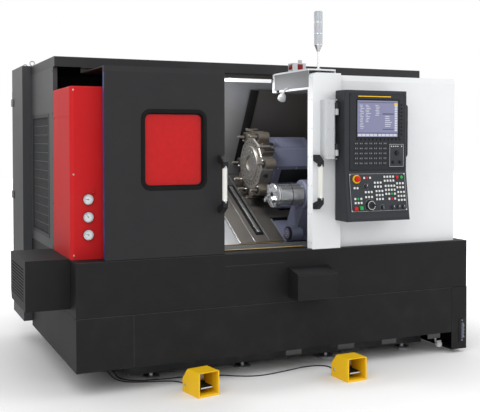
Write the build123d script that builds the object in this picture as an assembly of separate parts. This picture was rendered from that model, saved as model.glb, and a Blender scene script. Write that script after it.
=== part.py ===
from build123d import *

import math
import os

# A slant-bed turning lathe with a turret, a counter spindle, a sliding door and a swivelling control.
# All sizes are in millimetres. The model is drawn from the left front corner of the base cover:
# X runs along the front, Y runs towards the back and Z runs up from the floor.

# Overall sizes
BASE_LENGTH = 3000.0
BODY_DEPTH = 1530.0
BASE_TOP = 856.0
BASE_SEAM = 507.0
BASE_BOTTOM = 165.0
COVER_TOP = 2088.0
ROOF_TOP = 2190.0
ROOF_FASCIA = 70.0
ROOF_FRONT = 617.0

# Sheet metal and general clearances
SHEET = 4.0
SEAM_GAP = 2.0
SLIDE_GAP = 0.3
FIT_GAP = 0.05
LEDGE_FRONT = 150.0
LEDGE_SIDE = 60.0
FLANGE = 30.0

# Slant bed: the spindle axis and the slant set the position of everything in the work chamber
SLANT_DEG = 30.0
SPINDLE_Y = 450.0
SPINDLE_Z = 1208.0
WAY_DEPTH = 580.0
RAIL_HEIGHT = 50.0
BED_LEFT = 420.0
BED_RIGHT = 2780.0
BED_FRONT = 275.0
BED_BACK = 1450.0
BED_BOTTOM = 40.0
BED_SHELF = 430.0
BED_WALL = 60.0
BED_BAYS = 4
TAIL_RAILS = ((-120.0, -30.0), (20.0, 100.0))
SADDLE_RAILS = ((190.0, 280.0), (600.0, 690.0))

# Levelling feet
FOOT_PAD_RADIUS = 60.0
FOOT_PAD_HEIGHT = 18.0
FOOT_SCREW_RADIUS = 15.0
FOOT_INSET_X = 160.0
FEET_PER_SIDE = 4

# Right end block of the base
END_BLOCK_LEFT = 2862.0
END_BLOCK_BOTTOM = 30.0
SIGHT_WIDTH = 30.0
SIGHT_BOTTOM = 90.0
SIGHT_TOP = 255.0

# Coolant unit on the left end
COOLANT_REACH = 280.0
COOLANT_FRONT = 172.0
COOLANT_BACK = 745.0
COOLANT_BOTTOM = 540.0
COOLANT_TOP = 860.0
COOLANT_SLOTS = 11
COOLANT_SLOT_HEIGHT = 7.0

# Left side panel with its recessed grille
SIDE_FRONT = 668.0
SIDE_DEPTH = 30.0
GRILLE_FRONT = 840.0
GRILLE_BACK = 1425.0
GRILLE_BOTTOM = 950.0
GRILLE_TOP = 1780.0
GRILLE_RECESS = 12.0
GRILLE_SLOTS = 28
GRILLE_SLOT_HEIGHT = 9.0
GRILLE_MARGIN = 75.0
REAR_SLOT_MARGIN = 120.0

# Left service cover with three gauges
RED_RIGHT = 260.0
RED_FRONT = 140.0
RED_BACK = 665.0
RED_TOP = 1960.0
RED_CORNER = 25.0
RED_GROOVE_Z = 1765.0
RED_GROOVE = 12.0
GAUGE_X = 111.0
GAUGE_Z = (1014.0, 1127.0, 1240.0)
GAUGE_RADIUS = 33.0
GAUGE_HEIGHT = 14.0
GAUGE_RIM = 4.0
LAMP_X = 146.0
LAMP_Z = 1286.0
LAMP_RADIUS = 9.0

# Sliding door with its window and handle
DOOR_LEFT = 185.0
DOOR_WIDTH = 815.0
DOOR_THICK = 50.0
DOOR_BOTTOM = 860.0
DOOR_TOP = 2085.0
DOOR_BEVEL = 37.0
DOOR_BEVEL_DEPTH = 12.0
WINDOW_X = 646.0
WINDOW_Z = 1555.0
WINDOW_WIDTH = 400.0
WINDOW_HEIGHT = 474.0
WINDOW_CORNER = 40.0
WINDOW_RIM = 24.0
WINDOW_LIP = 12.0
RIM_PROUD = 4.0
GLASS_SET_BACK = 22.0
GLASS_THICK = 6.0

# Grab handles of the door and of the post
DOOR_HANDLE_X = 965.0
POST_HANDLE_X = 1680.0
HANDLE_REACH = 80.0
HANDLE_MIDDLE_Z = 1327.0
GRIP_LENGTH = 217.0
GRIP_RADIUS = 16.0
BRACKET_RISE = 80.0
BRACKET_WIDTH = 34.0

# Door rails
TRACK_DEPTH = 22.0
RAIL_FRONT = 612.0
RAIL_BACK = 640.0
RAIL_BOTTOM = 2078.0
RAIL_TOP = 2120.0
ROLLER_RADIUS = 16.0
ROLLER_WIDTH = 18.0

# Fixed post beside the opening
POST_LEFT = 1662.0
POST_WIDTH = 224.0
POST_EDGE_DEPTH = 75.0
POST_CORNER = 35.0
HEADER_BACK = 640.0
HEADER_TOP = 2120.0
HEADER_BOTTOM = 1975.0
HEADER_THICK = 10.0
INTERLOCK_LENGTH = 108.0
INTERLOCK_DEPTH = (300.0, 380.0)
INTERLOCK_HEIGHT = 58.0
PLUG_RADIUS = 15.0
PLUG_HEIGHT = 26.0

# Right enclosure panel
PANEL_FRONT = 50.0
PANEL_RIGHT = 2914.0
PANEL_TOP = 2080.0
PANEL_BEVEL = 40.0

# Guard around the work chamber
GUARD_FRONT = 74.0
GUARD_LEFT = 300.0
GUARD_RIGHT = 985.0
GUARD_WALL_X = 800.0
NOSE_HOLE_RADIUS = 118.0

# Way covers and the guard behind the turret, measured in the slanted frame
COVER_DEPTH = 305.0
COVER_STEP = 12.0
COVER_FOOT = -160.0
COVER_CORNER = 770.0
COVER_RISE = 545.0
COVER_CLEAR_TAIL = 140.0
MOVING_COVER_RIGHT = 2700.0
STRIP_RIGHT = 1675.0
COVER_LEAVES = 3
COVER_LEAF = 120.0
COVER_LEAF_DROP = 2.5
BACK_PLATE_LEFT = 1650.0
BACK_PLATE_RIGHT = 2330.0
FIXED_COVER_RIGHT = 1360.0
FIXED_COVER_FAR = 2320.0
FIXED_COVER_END = 2850.0
TAIL_SKIRT_DROP = 26.0
TAIL_SKIRT_LENGTH = 760.0

# Chip tray inside the base
TRAY_LEFT = 840.0
TRAY_RIGHT = 2820.0
TRAY_FRONT = 170.0
TRAY_BACK = 455.0
TRAY_BOTTOM = 440.0
TRAY_LIP = 30.0

# Headstock, spindle and chuck
HEADSTOCK_LEFT = 430.0
HEADSTOCK_RIGHT = 780.0
HEADSTOCK_RADIUS = 190.0
HEADSTOCK_FOOT_DEPTH = 500.0
HEADSTOCK_TOE = 20.0
MOTOR_ALONG = 460.0
MOTOR_DEPTH = 385.0
MOTOR_RADIUS = 96.0
MOTOR_INSET = 10.0
MOTOR_FINS = 8
MOTOR_FIN_HEIGHT = 12.0
MOTOR_FOOT_WIDTH = 140.0
HEADSTOCK_FOOT = (-140.0, 620.0)
SPINDLE_RADIUS = 60.0
SPINDLE_BORE = 26.0
SPINDLE_LEFT = 130.0
ACTUATOR_RADIUS = 86.0
ACTUATOR_LENGTH = 170.0
NOSE_RADIUS = 82.0
CHUCK_LEFT = 812.0
CHUCK_LENGTH = 100.0
CHUCK_RADIUS = 105.0
JAW_COUNT = 3
JAW_LENGTH = 42.0
JAW_WIDTH = 34.0
JAW_INNER = 36.0
JAW_OUTER = 92.0
JAW_STEP = 18.0
JAW_TENON = 14.0
SLOT_DEPTH = 24.0
SLOT_RELIEF = 6.0

# Saddle and cross slide
SADDLE_LEFT = 1620.0
SADDLE_RIGHT = 2420.0
SADDLE_FRONT = 165.0
SADDLE_BACK = 745.0
SADDLE_TOP_DEPTH = 340.0
CROSS_RAIL_HEIGHT = 20.0
CROSS_RAIL_WIDTH = 44.0
CROSS_LEFT = 1815.0
CROSS_RIGHT = 2235.0
CROSS_FRONT = 400.0
CROSS_BACK = 720.0
CROSS_TOP_DEPTH = 240.0
CROSS_TRAVEL = 160.0
SKIRT_FRONT = 250.0
SKIRT_BACK = 755.0
SKIRT_LIFT = 5.0
SLOT_MARGIN = 10.0

# Turret
TURRET_OFFSET = 458.0
TURRET_LEFT = 1572.0
TURRET_THICK = 100.0
TURRET_FLAT_RADIUS = 195.0
TURRET_STATIONS = 12
HUB_RADIUS = 134.0
HUB_HEIGHT = 12.0
HUB_DISH_RADIUS = 60.0
TURRET_SHAFT_RADIUS = 60.0
TURRET_SHAFT_LENGTH = 210.0
COLLAR_RADIUS = 190.0
COLLAR_THICK = 24.0
COLLAR_GAP = 4.0
HOUSING_LENGTH = 410.0
SOCKET_RADIUS = 20.0
SOCKET_DEPTH = 60.0
TOOL_REACH = 272.0
HOLDER_WIDTH = 80.0
HOLDER_HALF = 46.0
TOOL_BAR = 20.0
TOOL_BAR_REACH = 84.0
BORING_AXIS_RISE = 42.0
BORING_BAR_RADIUS = 11.0
BORING_BAR_REACH = 104.0

# Counter spindle on its slide
TAIL_LEFT = 1802.0
TAIL_LENGTH = 350.0
TAIL_RADIUS = 112.0
TAIL_FOOT = (-150.0, 112.0)
TAIL_COLUMN = (-88.0, 80.0)
TAIL_BASE_HEIGHT = 105.0
DRUM_LEFT = 1565.0
DRUM_RADIUS = 84.0
DRUM_HOLES = 6
DRUM_HOLE_RADIUS = 9.0
TAIL_JAW_LENGTH = 30.0
TAIL_JAW_WIDTH = 26.0
DRUM_FLANGE_RADIUS = 90.0
DRUM_FLANGE_LENGTH = 22.0
TAIL_SHAFT_RADIUS = 45.0
TAIL_SHAFT_LENGTH = 240.0

# Roof lamp bar and signal tower
LIGHT_LEFT = 1120.0
LIGHT_RIGHT = 1640.0
LIGHT_DEPTH = 26.0
LIGHT_HEIGHT = 26.0
TOWER_X = 1803.0
TOWER_Y = 180.0
TOWER_FOOT_RADIUS = 26.0
TOWER_POLE_RADIUS = 9.0
TOWER_POLE_TOP = 2252.0
TOWER_CONE_TOP = 2300.0
TOWER_TOP = 2543.0
TOWER_LAMP_RADIUS = 31.0

# Hood on the front of the base
HOOD_LEFT = 1470.0
HOOD_WIDTH = 312.0
HOOD_REACH = 150.0
HOOD_BOTTOM = 536.0
HOOD_TOP_FRONT = 712.0
HOOD_TOP_BACK = 742.0
HOOD_EDGE = 22.0

# Control pendant and its hinge
HINGE_BOX_LEFT = 1720.0
HINGE_BOX_WIDTH = 65.0
HINGE_BOX_DEPTH = 95.0
HINGE_BOX_BOTTOM = 1487.0
HINGE_BOX_TOP = 1897.0
HINGE_X = 1805.0
HINGE_Y = -75.0
HINGE_BARREL = 17.0
HINGE_PIN = 8.0
HINGE_LUG = 42.0
PENDANT_LEFT = 1832.0
PENDANT_RIGHT = 2345.0
PENDANT_BACK = -20.0
PENDANT_FRONT = -150.0
PENDANT_TOP = 1963.0
PENDANT_WAIST = 1394.0
PENDANT_BOTTOM = 1055.0
PENDANT_TOE = -195.0
PENDANT_TOE_Z = 1078.0
PENDANT_CORNER = 22.0
UNIT_LEFT = 1868.0
UNIT_RIGHT = 2318.0
UNIT_BOTTOM = 1408.0
UNIT_TOP = 1938.0
UNIT_PROUD = 5.0
UNIT_POCKET = 8.0
SCREEN_LEFT = 1927.0
SCREEN_RIGHT = 2262.0
SCREEN_BOTTOM = 1640.0
SCREEN_TOP = 1893.0
SCREEN_RECESS = 5.0
KEY_HEIGHT = 2.0
KEYBOARD_COLUMNS = 10
KEYBOARD_ROWS = 5
PENDANT_HANDLE_BOTTOM = 1500.0
PENDANT_HANDLE_TOP = 1868.0
PENDANT_HANDLE_REACH = 46.0
PENDANT_HANDLE_RADIUS = 9.0

# Operator panel, measured on the tilted lower face from its upper left corner
DESK_WIDTH = 462.0
DESK_HEIGHT = 268.0
DESK_TOP_GAP = 38.0
DESK_THICK = 5.0
DESK_POCKET = 70.0
DESK_RIM = 12.0
DESK_KEY = 11.0
DESK_KEY_HEIGHT = 3.0
STOP_AT = (0.125, 0.15)
STOP_COLLAR_RADIUS = 30.0
STOP_COLLAR_HEIGHT = 9.0
STOP_HEAD_RADIUS = 20.0
STOP_STEM_RADIUS = 10.0
STOP_TRAVEL = 5.0
WHEEL_AT = (0.335, 0.84)
WHEEL_RADIUS = 36.0
WHEEL_HEIGHT = 20.0
WHEEL_GROOVE = 2.5
WHEEL_GROOVES = 12
KNOB_AT = (0.55, 0.9)
KNOB_RADIUS = 14.0
KNOB_HEIGHT = 16.0
FIXED_KNOBS = ((0.29, 0.34), (0.74, 0.9), (0.84, 0.9), (0.93, 0.9))
HOLD_AT = (0.085, 0.91)
START_AT = (0.175, 0.9)
BUTTON_SIZE = 26.0
BUTTON_HEIGHT = 8.0
BUTTON_TRAVEL = 3.0
BUTTON_STEM = 7.0
POWER_AT = ((0.84, 0.12), (0.92, 0.12))
# Blocks of square keys: left edge, top edge, columns and rows
KEY_BLOCKS = {
    "power": (0.26, 0.12, 3, 1),
    "light": (0.08, 0.38, 2, 1),
    "program": (0.27, 0.49, 3, 1),
    "block": (0.27, 0.62, 3, 1),
    "coolant": (0.08, 0.66, 3, 2),
    "mode": (0.44, 0.25, 3, 2),
    "axis": (0.46, 0.47, 3, 3),
    "turret": (0.62, 0.10, 4, 2),
    "spindle": (0.63, 0.34, 4, 3),
    "chuck": (0.68, 0.68, 3, 1),
    "tailstock": (0.84, 0.28, 3, 2),
    "conveyor": (0.85, 0.51, 3, 3),
}
KEY_PITCH_X = 0.052
KEY_PITCH_Y = 0.105

# Electrical cabinet on the back
CABINET_LEFT = -65.0
CABINET_WIDTH = 900.0
CABINET_BACK = 2000.0
CABINET_BOTTOM = 200.0
CABINET_TOP = 2195.0
CABINET_DOOR_GAP = 2.0
CABINET_DOOR_THICK = 34.0
CABINET_HINGE_INSET = 8.0
CABINET_HINGE_BACK = 2046.0
CABINET_BARREL = 7.0
CABINET_PIN = 4.0
CABINET_LUG = 60.0
RACK_SET_BACK = 40.0
RACK_THICK = 6.0
RACK_MODULE_DEPTH = 260.0
MODULES_IN_ROW = (3, 4, 6)

# Foot pedals: front left corner of each and how far it is turned
PEDAL_WIDTH = 155.0
PEDAL_DEPTH = 195.0
PEDAL_HEIGHT = 158.0
PEDAL_WALL = 5.0
PEDAL_CROWN = 0.7
PEDAL_SHOULDER = 0.55
PEDAL_ROUNDING = 9.0
PEDAL_BASE = 14.0
PEDAL_LEFT_AT = (707.0, -270.0, 11.0)
PEDAL_RIGHT_AT = (1740.0, -349.0, 4.0)
TREADLE_WIDTH = 92.0
TREADLE_LENGTH = 135.0
TREADLE_THICK = 10.0
TREADLE_PIVOT_Z = 52.0
TREADLE_PIVOT_Y = 160.0
TREADLE_PIN = 5.0

# Height of the cable over the floor and the stub it leaves the pedal by
CABLE_Z = 6.0
PEDAL_STUB = 20.0
CABLE_LEAD = 58.0

# Pedal cables: where they enter the machine and how they lie on the floor
CABLE_RADIUS = 4.0
CABLE_RISE = 24.0
GLAND_X = (325.0, 362.0)
GLAND_Y = 545.0
GLAND_LENGTH = 26.0
GLAND_RADIUS = 9.0
GLAND_BLOCK_HEIGHT = 80.0
GLAND_BLOCK_DEPTH = 90.0
CABLE_LEFT_ROUTE = (
    (734.0, 82.0, 4.0), (704.0, 138.0, 4.0), (644.0, 170.0, 4.0), (576.0, 188.0, 4.0),
    (508.0, 208.0, 4.0), (440.0, 232.0, 4.0), (380.0, 270.0, 4.0), (346.0, 332.0, 4.0), (334.0, 398.0, 6.0),
)
CABLE_RIGHT_ROUTE = (
    (1822.0, -4.0, 4.0), (1820.0, 62.0, 4.0), (1768.0, 102.0, 4.0),
    (1696.0, 112.0, 4.0), (1622.0, 104.0, 4.0), (1534.0, 78.0, 4.0), (1442.0, 58.0, 4.0),
    (1352.0, 41.0, 4.0), (1270.0, 34.0, 4.0), (1190.0, 52.0, 4.0), (1112.0, 96.0, 4.0),
    (1034.0, 152.0, 4.0), (950.0, 188.0, 4.0), (862.0, 204.0, 4.0), (772.0, 214.0, 4.0),
    (686.0, 219.0, 4.0), (600.0, 228.0, 4.0), (520.0, 240.0, 4.0), (450.0, 264.0, 4.0),
    (400.0, 312.0, 4.0), (374.0, 362.0, 4.0), (366.0, 408.0, 8.0),
)

SIN = math.sin(math.radians(SLANT_DEG))
COS = math.cos(math.radians(SLANT_DEG))


def block(xs, ys, zs):
    """Box between two limits along each axis."""
    size = [high - low for low, high in (xs, ys, zs)]
    centre = [(high + low) / 2 for low, high in (xs, ys, zs)]
    return Pos(*centre) * Box(*size)


def slant(along, above):
    """Y and Z of a point given along the slant and above it, from the spindle axis."""
    return (SPINDLE_Y + along * COS - above * SIN, SPINDLE_Z + along * SIN + above * COS)


def prism_x(points, xs):
    """Solid with an outline in Y and Z that runs from one X to another."""
    face = Plane.YZ.offset(xs[0]) * make_face(Polyline(*points, close=True))
    return extrude(face, amount=xs[1] - xs[0])


def slant_prism(points, xs):
    """Solid with an outline in the slanted frame."""
    return prism_x([slant(along, above) for along, above in points], xs)


def slant_block(alongs, aboves, xs):
    """Block square to the slant."""
    low, high = alongs
    bottom, top = aboves
    return slant_prism([(low, bottom), (high, bottom), (high, top), (low, top)], xs)


def rod_x(y, z, radius, xs):
    """Round bar along X."""
    plane = Plane((xs[0], y, z), x_dir=(0, 1, 0), z_dir=(1, 0, 0))
    return extrude(plane * Circle(radius), amount=xs[1] - xs[0])


def rod_y(x, z, radius, ys):
    """Round bar along Y."""
    plane = Plane((x, ys[0], z), x_dir=(1, 0, 0), z_dir=(0, 1, 0))
    return extrude(plane * Circle(radius), amount=ys[1] - ys[0])


def rod_z(x, y, radius, zs):
    """Round bar along Z."""
    return Pos(x, y, zs[0]) * extrude(Circle(radius), amount=zs[1] - zs[0])


def turned_x(y, z, profile):
    """Turned piece about a line along X, from points of X and radius."""
    outline = [(profile[0][0], 0), *profile, (profile[-1][0], 0)]
    face = make_face(Polyline(*outline, close=True))
    return Pos(0, y, z) * revolve(Plane.XY * face, Axis.X)


def rounded_slab(x, z, width, height, corner, ys):
    """Upright slab with rounded corners, facing the front."""
    plane = Plane((x, ys[0], z), x_dir=(1, 0, 0), z_dir=(0, 1, 0))
    return extrude(plane * RectangleRounded(width, height, corner), amount=ys[1] - ys[0])


def as_group(solids):
    """Separate solids written as one file."""
    return Compound([solid for piece in solids for solid in piece.solids()])


# Bed and base

def bed_casting():
    """Cast bed: open below, in bays between ribs, with four guideways along the slant."""
    front_foot = (BED_FRONT, BED_BOTTOM)
    low_way = slant(TAIL_RAILS[0][0] - 30.0, -WAY_DEPTH)
    high_way = slant(SADDLE_RAILS[-1][1] + 40.0, -WAY_DEPTH)
    outline = [
        front_foot,
        (BED_FRONT, BED_SHELF),
        (low_way[0] - 60.0, BED_SHELF),
        low_way,
        high_way,
        (BED_BACK, high_way[1] - BED_WALL),
        (BED_BACK, BED_BOTTOM),
    ]
    bed = prism_x(outline, (BED_LEFT, BED_RIGHT))
    inside = [
        (BED_FRONT + BED_WALL, BED_BOTTOM - 1.0),
        (BED_FRONT + BED_WALL, BED_SHELF - BED_WALL),
        (low_way[0] + 10.0, BED_SHELF - BED_WALL),
        (low_way[0] + 50.0, low_way[1] - BED_WALL),
        (BED_BACK - 2 * BED_WALL, high_way[1] - 2.5 * BED_WALL),
        (BED_BACK - BED_WALL, high_way[1] - 3 * BED_WALL),
        (BED_BACK - BED_WALL, BED_BOTTOM - 1.0),
    ]
    pitch = (BED_RIGHT - BED_LEFT - BED_WALL) / BED_BAYS
    for bay in range(BED_BAYS):
        left = BED_LEFT + BED_WALL + bay * pitch
        bed -= prism_x(inside, (left, left + pitch - BED_WALL))
    for low, high in TAIL_RAILS + SADDLE_RAILS:
        bed += slant_block((low, high), (-WAY_DEPTH - 1.0, -WAY_DEPTH + RAIL_HEIGHT),
                           (HEADSTOCK_RIGHT + 20.0, BED_RIGHT))
    return bed


def foot_places():
    """Centres of the levelling feet in X and Y."""
    span = BED_RIGHT - BED_LEFT - 2 * FOOT_INSET_X
    xs = [BED_LEFT + FOOT_INSET_X + span * i / (FEET_PER_SIDE - 1) for i in range(FEET_PER_SIDE)]
    return [(x, y) for x in xs for y in (BED_FRONT + BED_WALL / 2, BED_BACK - BED_WALL / 2)]


def levelling_feet():
    """Round pads with their screws, standing under the walls of the bed."""
    feet = []
    for x, y in foot_places():
        pad = rod_z(x, y, FOOT_PAD_RADIUS, (0, FOOT_PAD_HEIGHT))
        pad = chamfer(pad.edges().group_by(Axis.Z)[-1], FOOT_PAD_HEIGHT / 3)
        screw = rod_z(x, y, FOOT_SCREW_RADIUS, (FOOT_PAD_HEIGHT - 1.0, BED_BOTTOM))
        feet.append(pad + screw)
    return as_group(feet)


def base_upper_cover():
    """Folded apron round the front and both ends, with a ledge that carries the enclosure."""
    zs = (BASE_SEAM, BASE_TOP)
    outer = block((0, BASE_LENGTH), (0, BODY_DEPTH - SHEET), zs)
    inner = block((SHEET, BASE_LENGTH - SHEET), (SHEET, BODY_DEPTH), (zs[0] - 1, zs[1] - SHEET))
    mouth = block((LEDGE_SIDE, BASE_LENGTH - LEDGE_SIDE), (LEDGE_FRONT, BODY_DEPTH), (zs[0], zs[1] + 1))
    apron = outer - inner - mouth
    return fillet(apron.edges().filter_by(Axis.Z).group_by(Axis.Y)[0], SHEET * 2)


def base_lower_cover():
    """Lower apron: front and left end, with a turned-in bottom flange."""
    zs = (BASE_BOTTOM, BASE_SEAM - SEAM_GAP)
    right = END_BLOCK_LEFT - SEAM_GAP
    outer = block((0, right), (0, BODY_DEPTH - SHEET), zs)
    inner = block((SHEET, right + 1), (SHEET, BODY_DEPTH), (zs[0] + SHEET, zs[1] + 1))
    mouth = block((SHEET + FLANGE, right + 1), (SHEET + FLANGE, BODY_DEPTH), (zs[0] - 1, zs[1]))
    return outer - inner - mouth


def base_end_block():
    """Right end of the base, nearly down to the floor, with a slot for the level gauge."""
    zs = (END_BLOCK_BOTTOM, BASE_SEAM - SEAM_GAP)
    outer = block((END_BLOCK_LEFT, BASE_LENGTH), (0, BODY_DEPTH - SHEET), zs)
    inner = block((END_BLOCK_LEFT - 1, BASE_LENGTH - SHEET), (SHEET, BODY_DEPTH), (zs[0] + SHEET, zs[1] + 1))
    sight_x = (END_BLOCK_LEFT + BASE_LENGTH) / 2 + SIGHT_WIDTH
    window = block((sight_x, sight_x + SIGHT_WIDTH / 2), (-1, SHEET / 2), (SIGHT_BOTTOM, SIGHT_TOP))
    return outer - inner - window


def coolant_box():
    """Louvred housing of the coolant unit, open towards the base."""
    outline = [
        (COOLANT_FRONT, COOLANT_BOTTOM), (COOLANT_FRONT, COOLANT_TOP),
        (COOLANT_BACK, COOLANT_TOP), (COOLANT_BACK, COOLANT_BOTTOM + 2 * FLANGE),
        (COOLANT_BACK - FLANGE, COOLANT_BOTTOM),
    ]
    outer = prism_x(outline, (-COOLANT_REACH, 0))
    inner_outline = [
        (COOLANT_FRONT + SHEET, COOLANT_BOTTOM + SHEET), (COOLANT_FRONT + SHEET, COOLANT_TOP - SHEET),
        (COOLANT_BACK - SHEET, COOLANT_TOP - SHEET), (COOLANT_BACK - SHEET, COOLANT_BOTTOM + 2 * FLANGE),
        (COOLANT_BACK - FLANGE - SHEET, COOLANT_BOTTOM + SHEET),
    ]
    box = outer - prism_x(inner_outline, (-COOLANT_REACH + SHEET, 1))
    pitch = (COOLANT_TOP - COOLANT_BOTTOM - 4 * FLANGE) / (COOLANT_SLOTS - 1)
    for row in range(COOLANT_SLOTS):
        z = COOLANT_BOTTOM + 2 * FLANGE + row * pitch
        box -= block((-COOLANT_REACH - 1, -COOLANT_REACH + SHEET + 1),
                     (COOLANT_FRONT + 2 * FLANGE, COOLANT_BACK - 2 * FLANGE),
                     (z - COOLANT_SLOT_HEIGHT / 2, z + COOLANT_SLOT_HEIGHT / 2))
    return box


def front_hood():
    """Small hood on the front of the base, with a rounded front edge and an open underside."""
    outline = [(0, HOOD_BOTTOM), (0, HOOD_TOP_BACK), (-HOOD_REACH, HOOD_TOP_FRONT), (-HOOD_REACH,
                                                                                     HOOD_BOTTOM)]
    xs = (HOOD_LEFT, HOOD_LEFT + HOOD_WIDTH)
    hood = prism_x(outline, xs)
    front_edge = hood.edges().filter_by(Axis.X).group_by(Axis.Y)[0].sort_by(Axis.Z)[-1]
    hood = fillet(front_edge, HOOD_EDGE)
    slope = (HOOD_TOP_BACK - HOOD_TOP_FRONT) / HOOD_REACH
    inside = [
        (1, HOOD_BOTTOM - 1), (1, HOOD_TOP_BACK - SHEET),
        (-HOOD_REACH + HOOD_EDGE, HOOD_TOP_FRONT + slope * HOOD_EDGE - SHEET),
        (-HOOD_REACH + SHEET, HOOD_TOP_FRONT - HOOD_EDGE), (-HOOD_REACH + SHEET, HOOD_BOTTOM - 1),
    ]
    return hood - prism_x(inside, (xs[0] + SHEET, xs[1] - SHEET))


def chip_tray():
    """Long pan under the chip opening, with folded lips."""
    xs, ys, zs = (TRAY_LEFT, TRAY_RIGHT), (TRAY_FRONT, TRAY_BACK), (TRAY_BOTTOM, BASE_TOP - SHEET)
    pan = block(xs, ys, zs)
    pan -= block((xs[0] + SHEET, xs[1] - SHEET), (ys[0] + SHEET, ys[1] - SHEET), (zs[0] + SHEET, zs[1] + 1))
    lip = block((xs[0] - TRAY_LIP, xs[1] + TRAY_LIP), (ys[0] - TRAY_LIP, ys[1] + TRAY_LIP), (zs[1] - SHEET,
                                                                                             zs[1]))
    lip -= block((xs[0], xs[1]), ys, (zs[1] - SHEET - 1, zs[1] + 1))
    skid = block((xs[0], xs[1]), (BED_FRONT, TRAY_BACK), (BED_SHELF, TRAY_BOTTOM))
    return pan + lip + skid


# Enclosure

def side_panel():
    """Left side panel: a shallow pan with a recessed, slotted grille."""
    back = BODY_DEPTH - SHEET
    skin = block((0, SIDE_DEPTH), (SIDE_FRONT, back), (BASE_TOP, ROOF_TOP - ROOF_FASCIA))
    hollow = block((SHEET, SIDE_DEPTH + 1), (SIDE_FRONT + SHEET, back - SHEET),
                   (BASE_TOP + SHEET, ROOF_TOP - ROOF_FASCIA - SHEET))
    dish = block((0, GRILLE_RECESS + SHEET), (GRILLE_FRONT - SHEET, GRILLE_BACK + SHEET),
                 (GRILLE_BOTTOM - SHEET, GRILLE_TOP + SHEET))
    panel = skin - (hollow - dish)
    panel -= block((-1, GRILLE_RECESS), (GRILLE_FRONT, GRILLE_BACK), (GRILLE_BOTTOM, GRILLE_TOP))
    low = GRILLE_BOTTOM + GRILLE_MARGIN
    pitch = (GRILLE_TOP - GRILLE_MARGIN - low) / (GRILLE_SLOTS - 1)
    for row in range(GRILLE_SLOTS):
        z = low + row * pitch
        panel -= block((0, SIDE_DEPTH), (GRILLE_FRONT + GRILLE_MARGIN, GRILLE_BACK - GRILLE_MARGIN),
                       (z - GRILLE_SLOT_HEIGHT / 2, z + GRILLE_SLOT_HEIGHT / 2))
    return panel


def red_cover():
    """Service cover at the left front corner, with a rounded edge and one pressed groove."""
    shell = block((0, RED_RIGHT), (RED_FRONT, RED_BACK), (BASE_TOP, RED_TOP))
    shell = fillet(shell.edges().filter_by(Axis.Z).group_by(Axis.Y)[0].sort_by(Axis.X)[0], RED_CORNER)
    shell = fillet(shell.faces().sort_by(Axis.Z)[-1].edges().group_by(Axis.Y)[0], RED_CORNER / 2)
    inner = block((SHEET, RED_RIGHT + 1), (RED_FRONT + SHEET, RED_BACK + 1), (BASE_TOP - 1, RED_TOP - SHEET))
    inner = fillet(inner.edges().filter_by(Axis.Z).group_by(Axis.Y)[0].sort_by(Axis.X)[0],
                   RED_CORNER - SHEET)
    groove = block((-1, SHEET / 2), (RED_FRONT + RED_CORNER, RED_BACK - RED_CORNER),
                   (RED_GROOVE_Z - RED_GROOVE / 2, RED_GROOVE_Z + RED_GROOVE / 2))
    return shell - inner - groove


def pressure_gauges():
    """Three dial gauges in turned cases and a small lamp, on the front of the service cover."""
    pieces = []
    for z in GAUGE_Z:
        case = rod_y(GAUGE_X, z, GAUGE_RADIUS, (RED_FRONT - GAUGE_HEIGHT, RED_FRONT))
        case = chamfer(case.edges().group_by(Axis.Y)[0], GAUGE_RIM / 3)
        front = RED_FRONT - GAUGE_HEIGHT
        pieces.append(case - rod_y(GAUGE_X, z, GAUGE_RADIUS - GAUGE_RIM, (front - 1, front + GAUGE_RIM)))
    lamp = rod_y(LAMP_X, LAMP_Z, LAMP_RADIUS, (RED_FRONT - GAUGE_HEIGHT / 2, RED_FRONT))
    pieces.append(chamfer(lamp.edges().group_by(Axis.Y)[0], GAUGE_RIM / 2))
    return as_group(pieces)


def rear_wall():
    """Back sheet of the machine, with rows of louvre slots over the bed."""
    wall = block((0, BASE_LENGTH), (BODY_DEPTH - SHEET, BODY_DEPTH), (BASE_BOTTOM, ROOF_TOP - ROOF_FASCIA))
    slot = (CABINET_LEFT + CABINET_WIDTH + REAR_SLOT_MARGIN, BASE_LENGTH - 2 * REAR_SLOT_MARGIN)
    for row in range(COOLANT_SLOTS):
        z = BASE_TOP + 2 * FLANGE + row * FLANGE
        wall -= block(slot, (BODY_DEPTH - SHEET - 1, BODY_DEPTH + 1), (z, z + GRILLE_SLOT_HEIGHT))
    return wall


def roof():
    """Roof pan over the back of the machine, open below, with a rounded front edge."""
    zs = (ROOF_TOP - ROOF_FASCIA, ROOF_TOP)
    pan = block((0, BASE_LENGTH), (ROOF_FRONT, BODY_DEPTH), zs)
    pan = fillet(pan.faces().sort_by(Axis.Z)[-1].edges().group_by(Axis.Y)[0], SHEET * 2)
    return pan - block((SHEET, BASE_LENGTH - SHEET), (ROOF_FRONT + SHEET, BODY_DEPTH - SHEET),
                       (zs[0] - 1, zs[1] - SHEET))


def chamber_outline():
    """Side view of the work chamber, in Y and Z."""
    corner = slant(COVER_CORNER + COVER_STEP, -COVER_DEPTH - COVER_STEP)
    top = slant(COVER_CORNER + COVER_STEP, COVER_RISE)
    foot = slant(COVER_FOOT, -COVER_DEPTH - COVER_STEP)[0]
    return [(GUARD_FRONT, BASE_TOP), (foot, BASE_TOP), corner, top, (GUARD_FRONT, top[1])]


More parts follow.
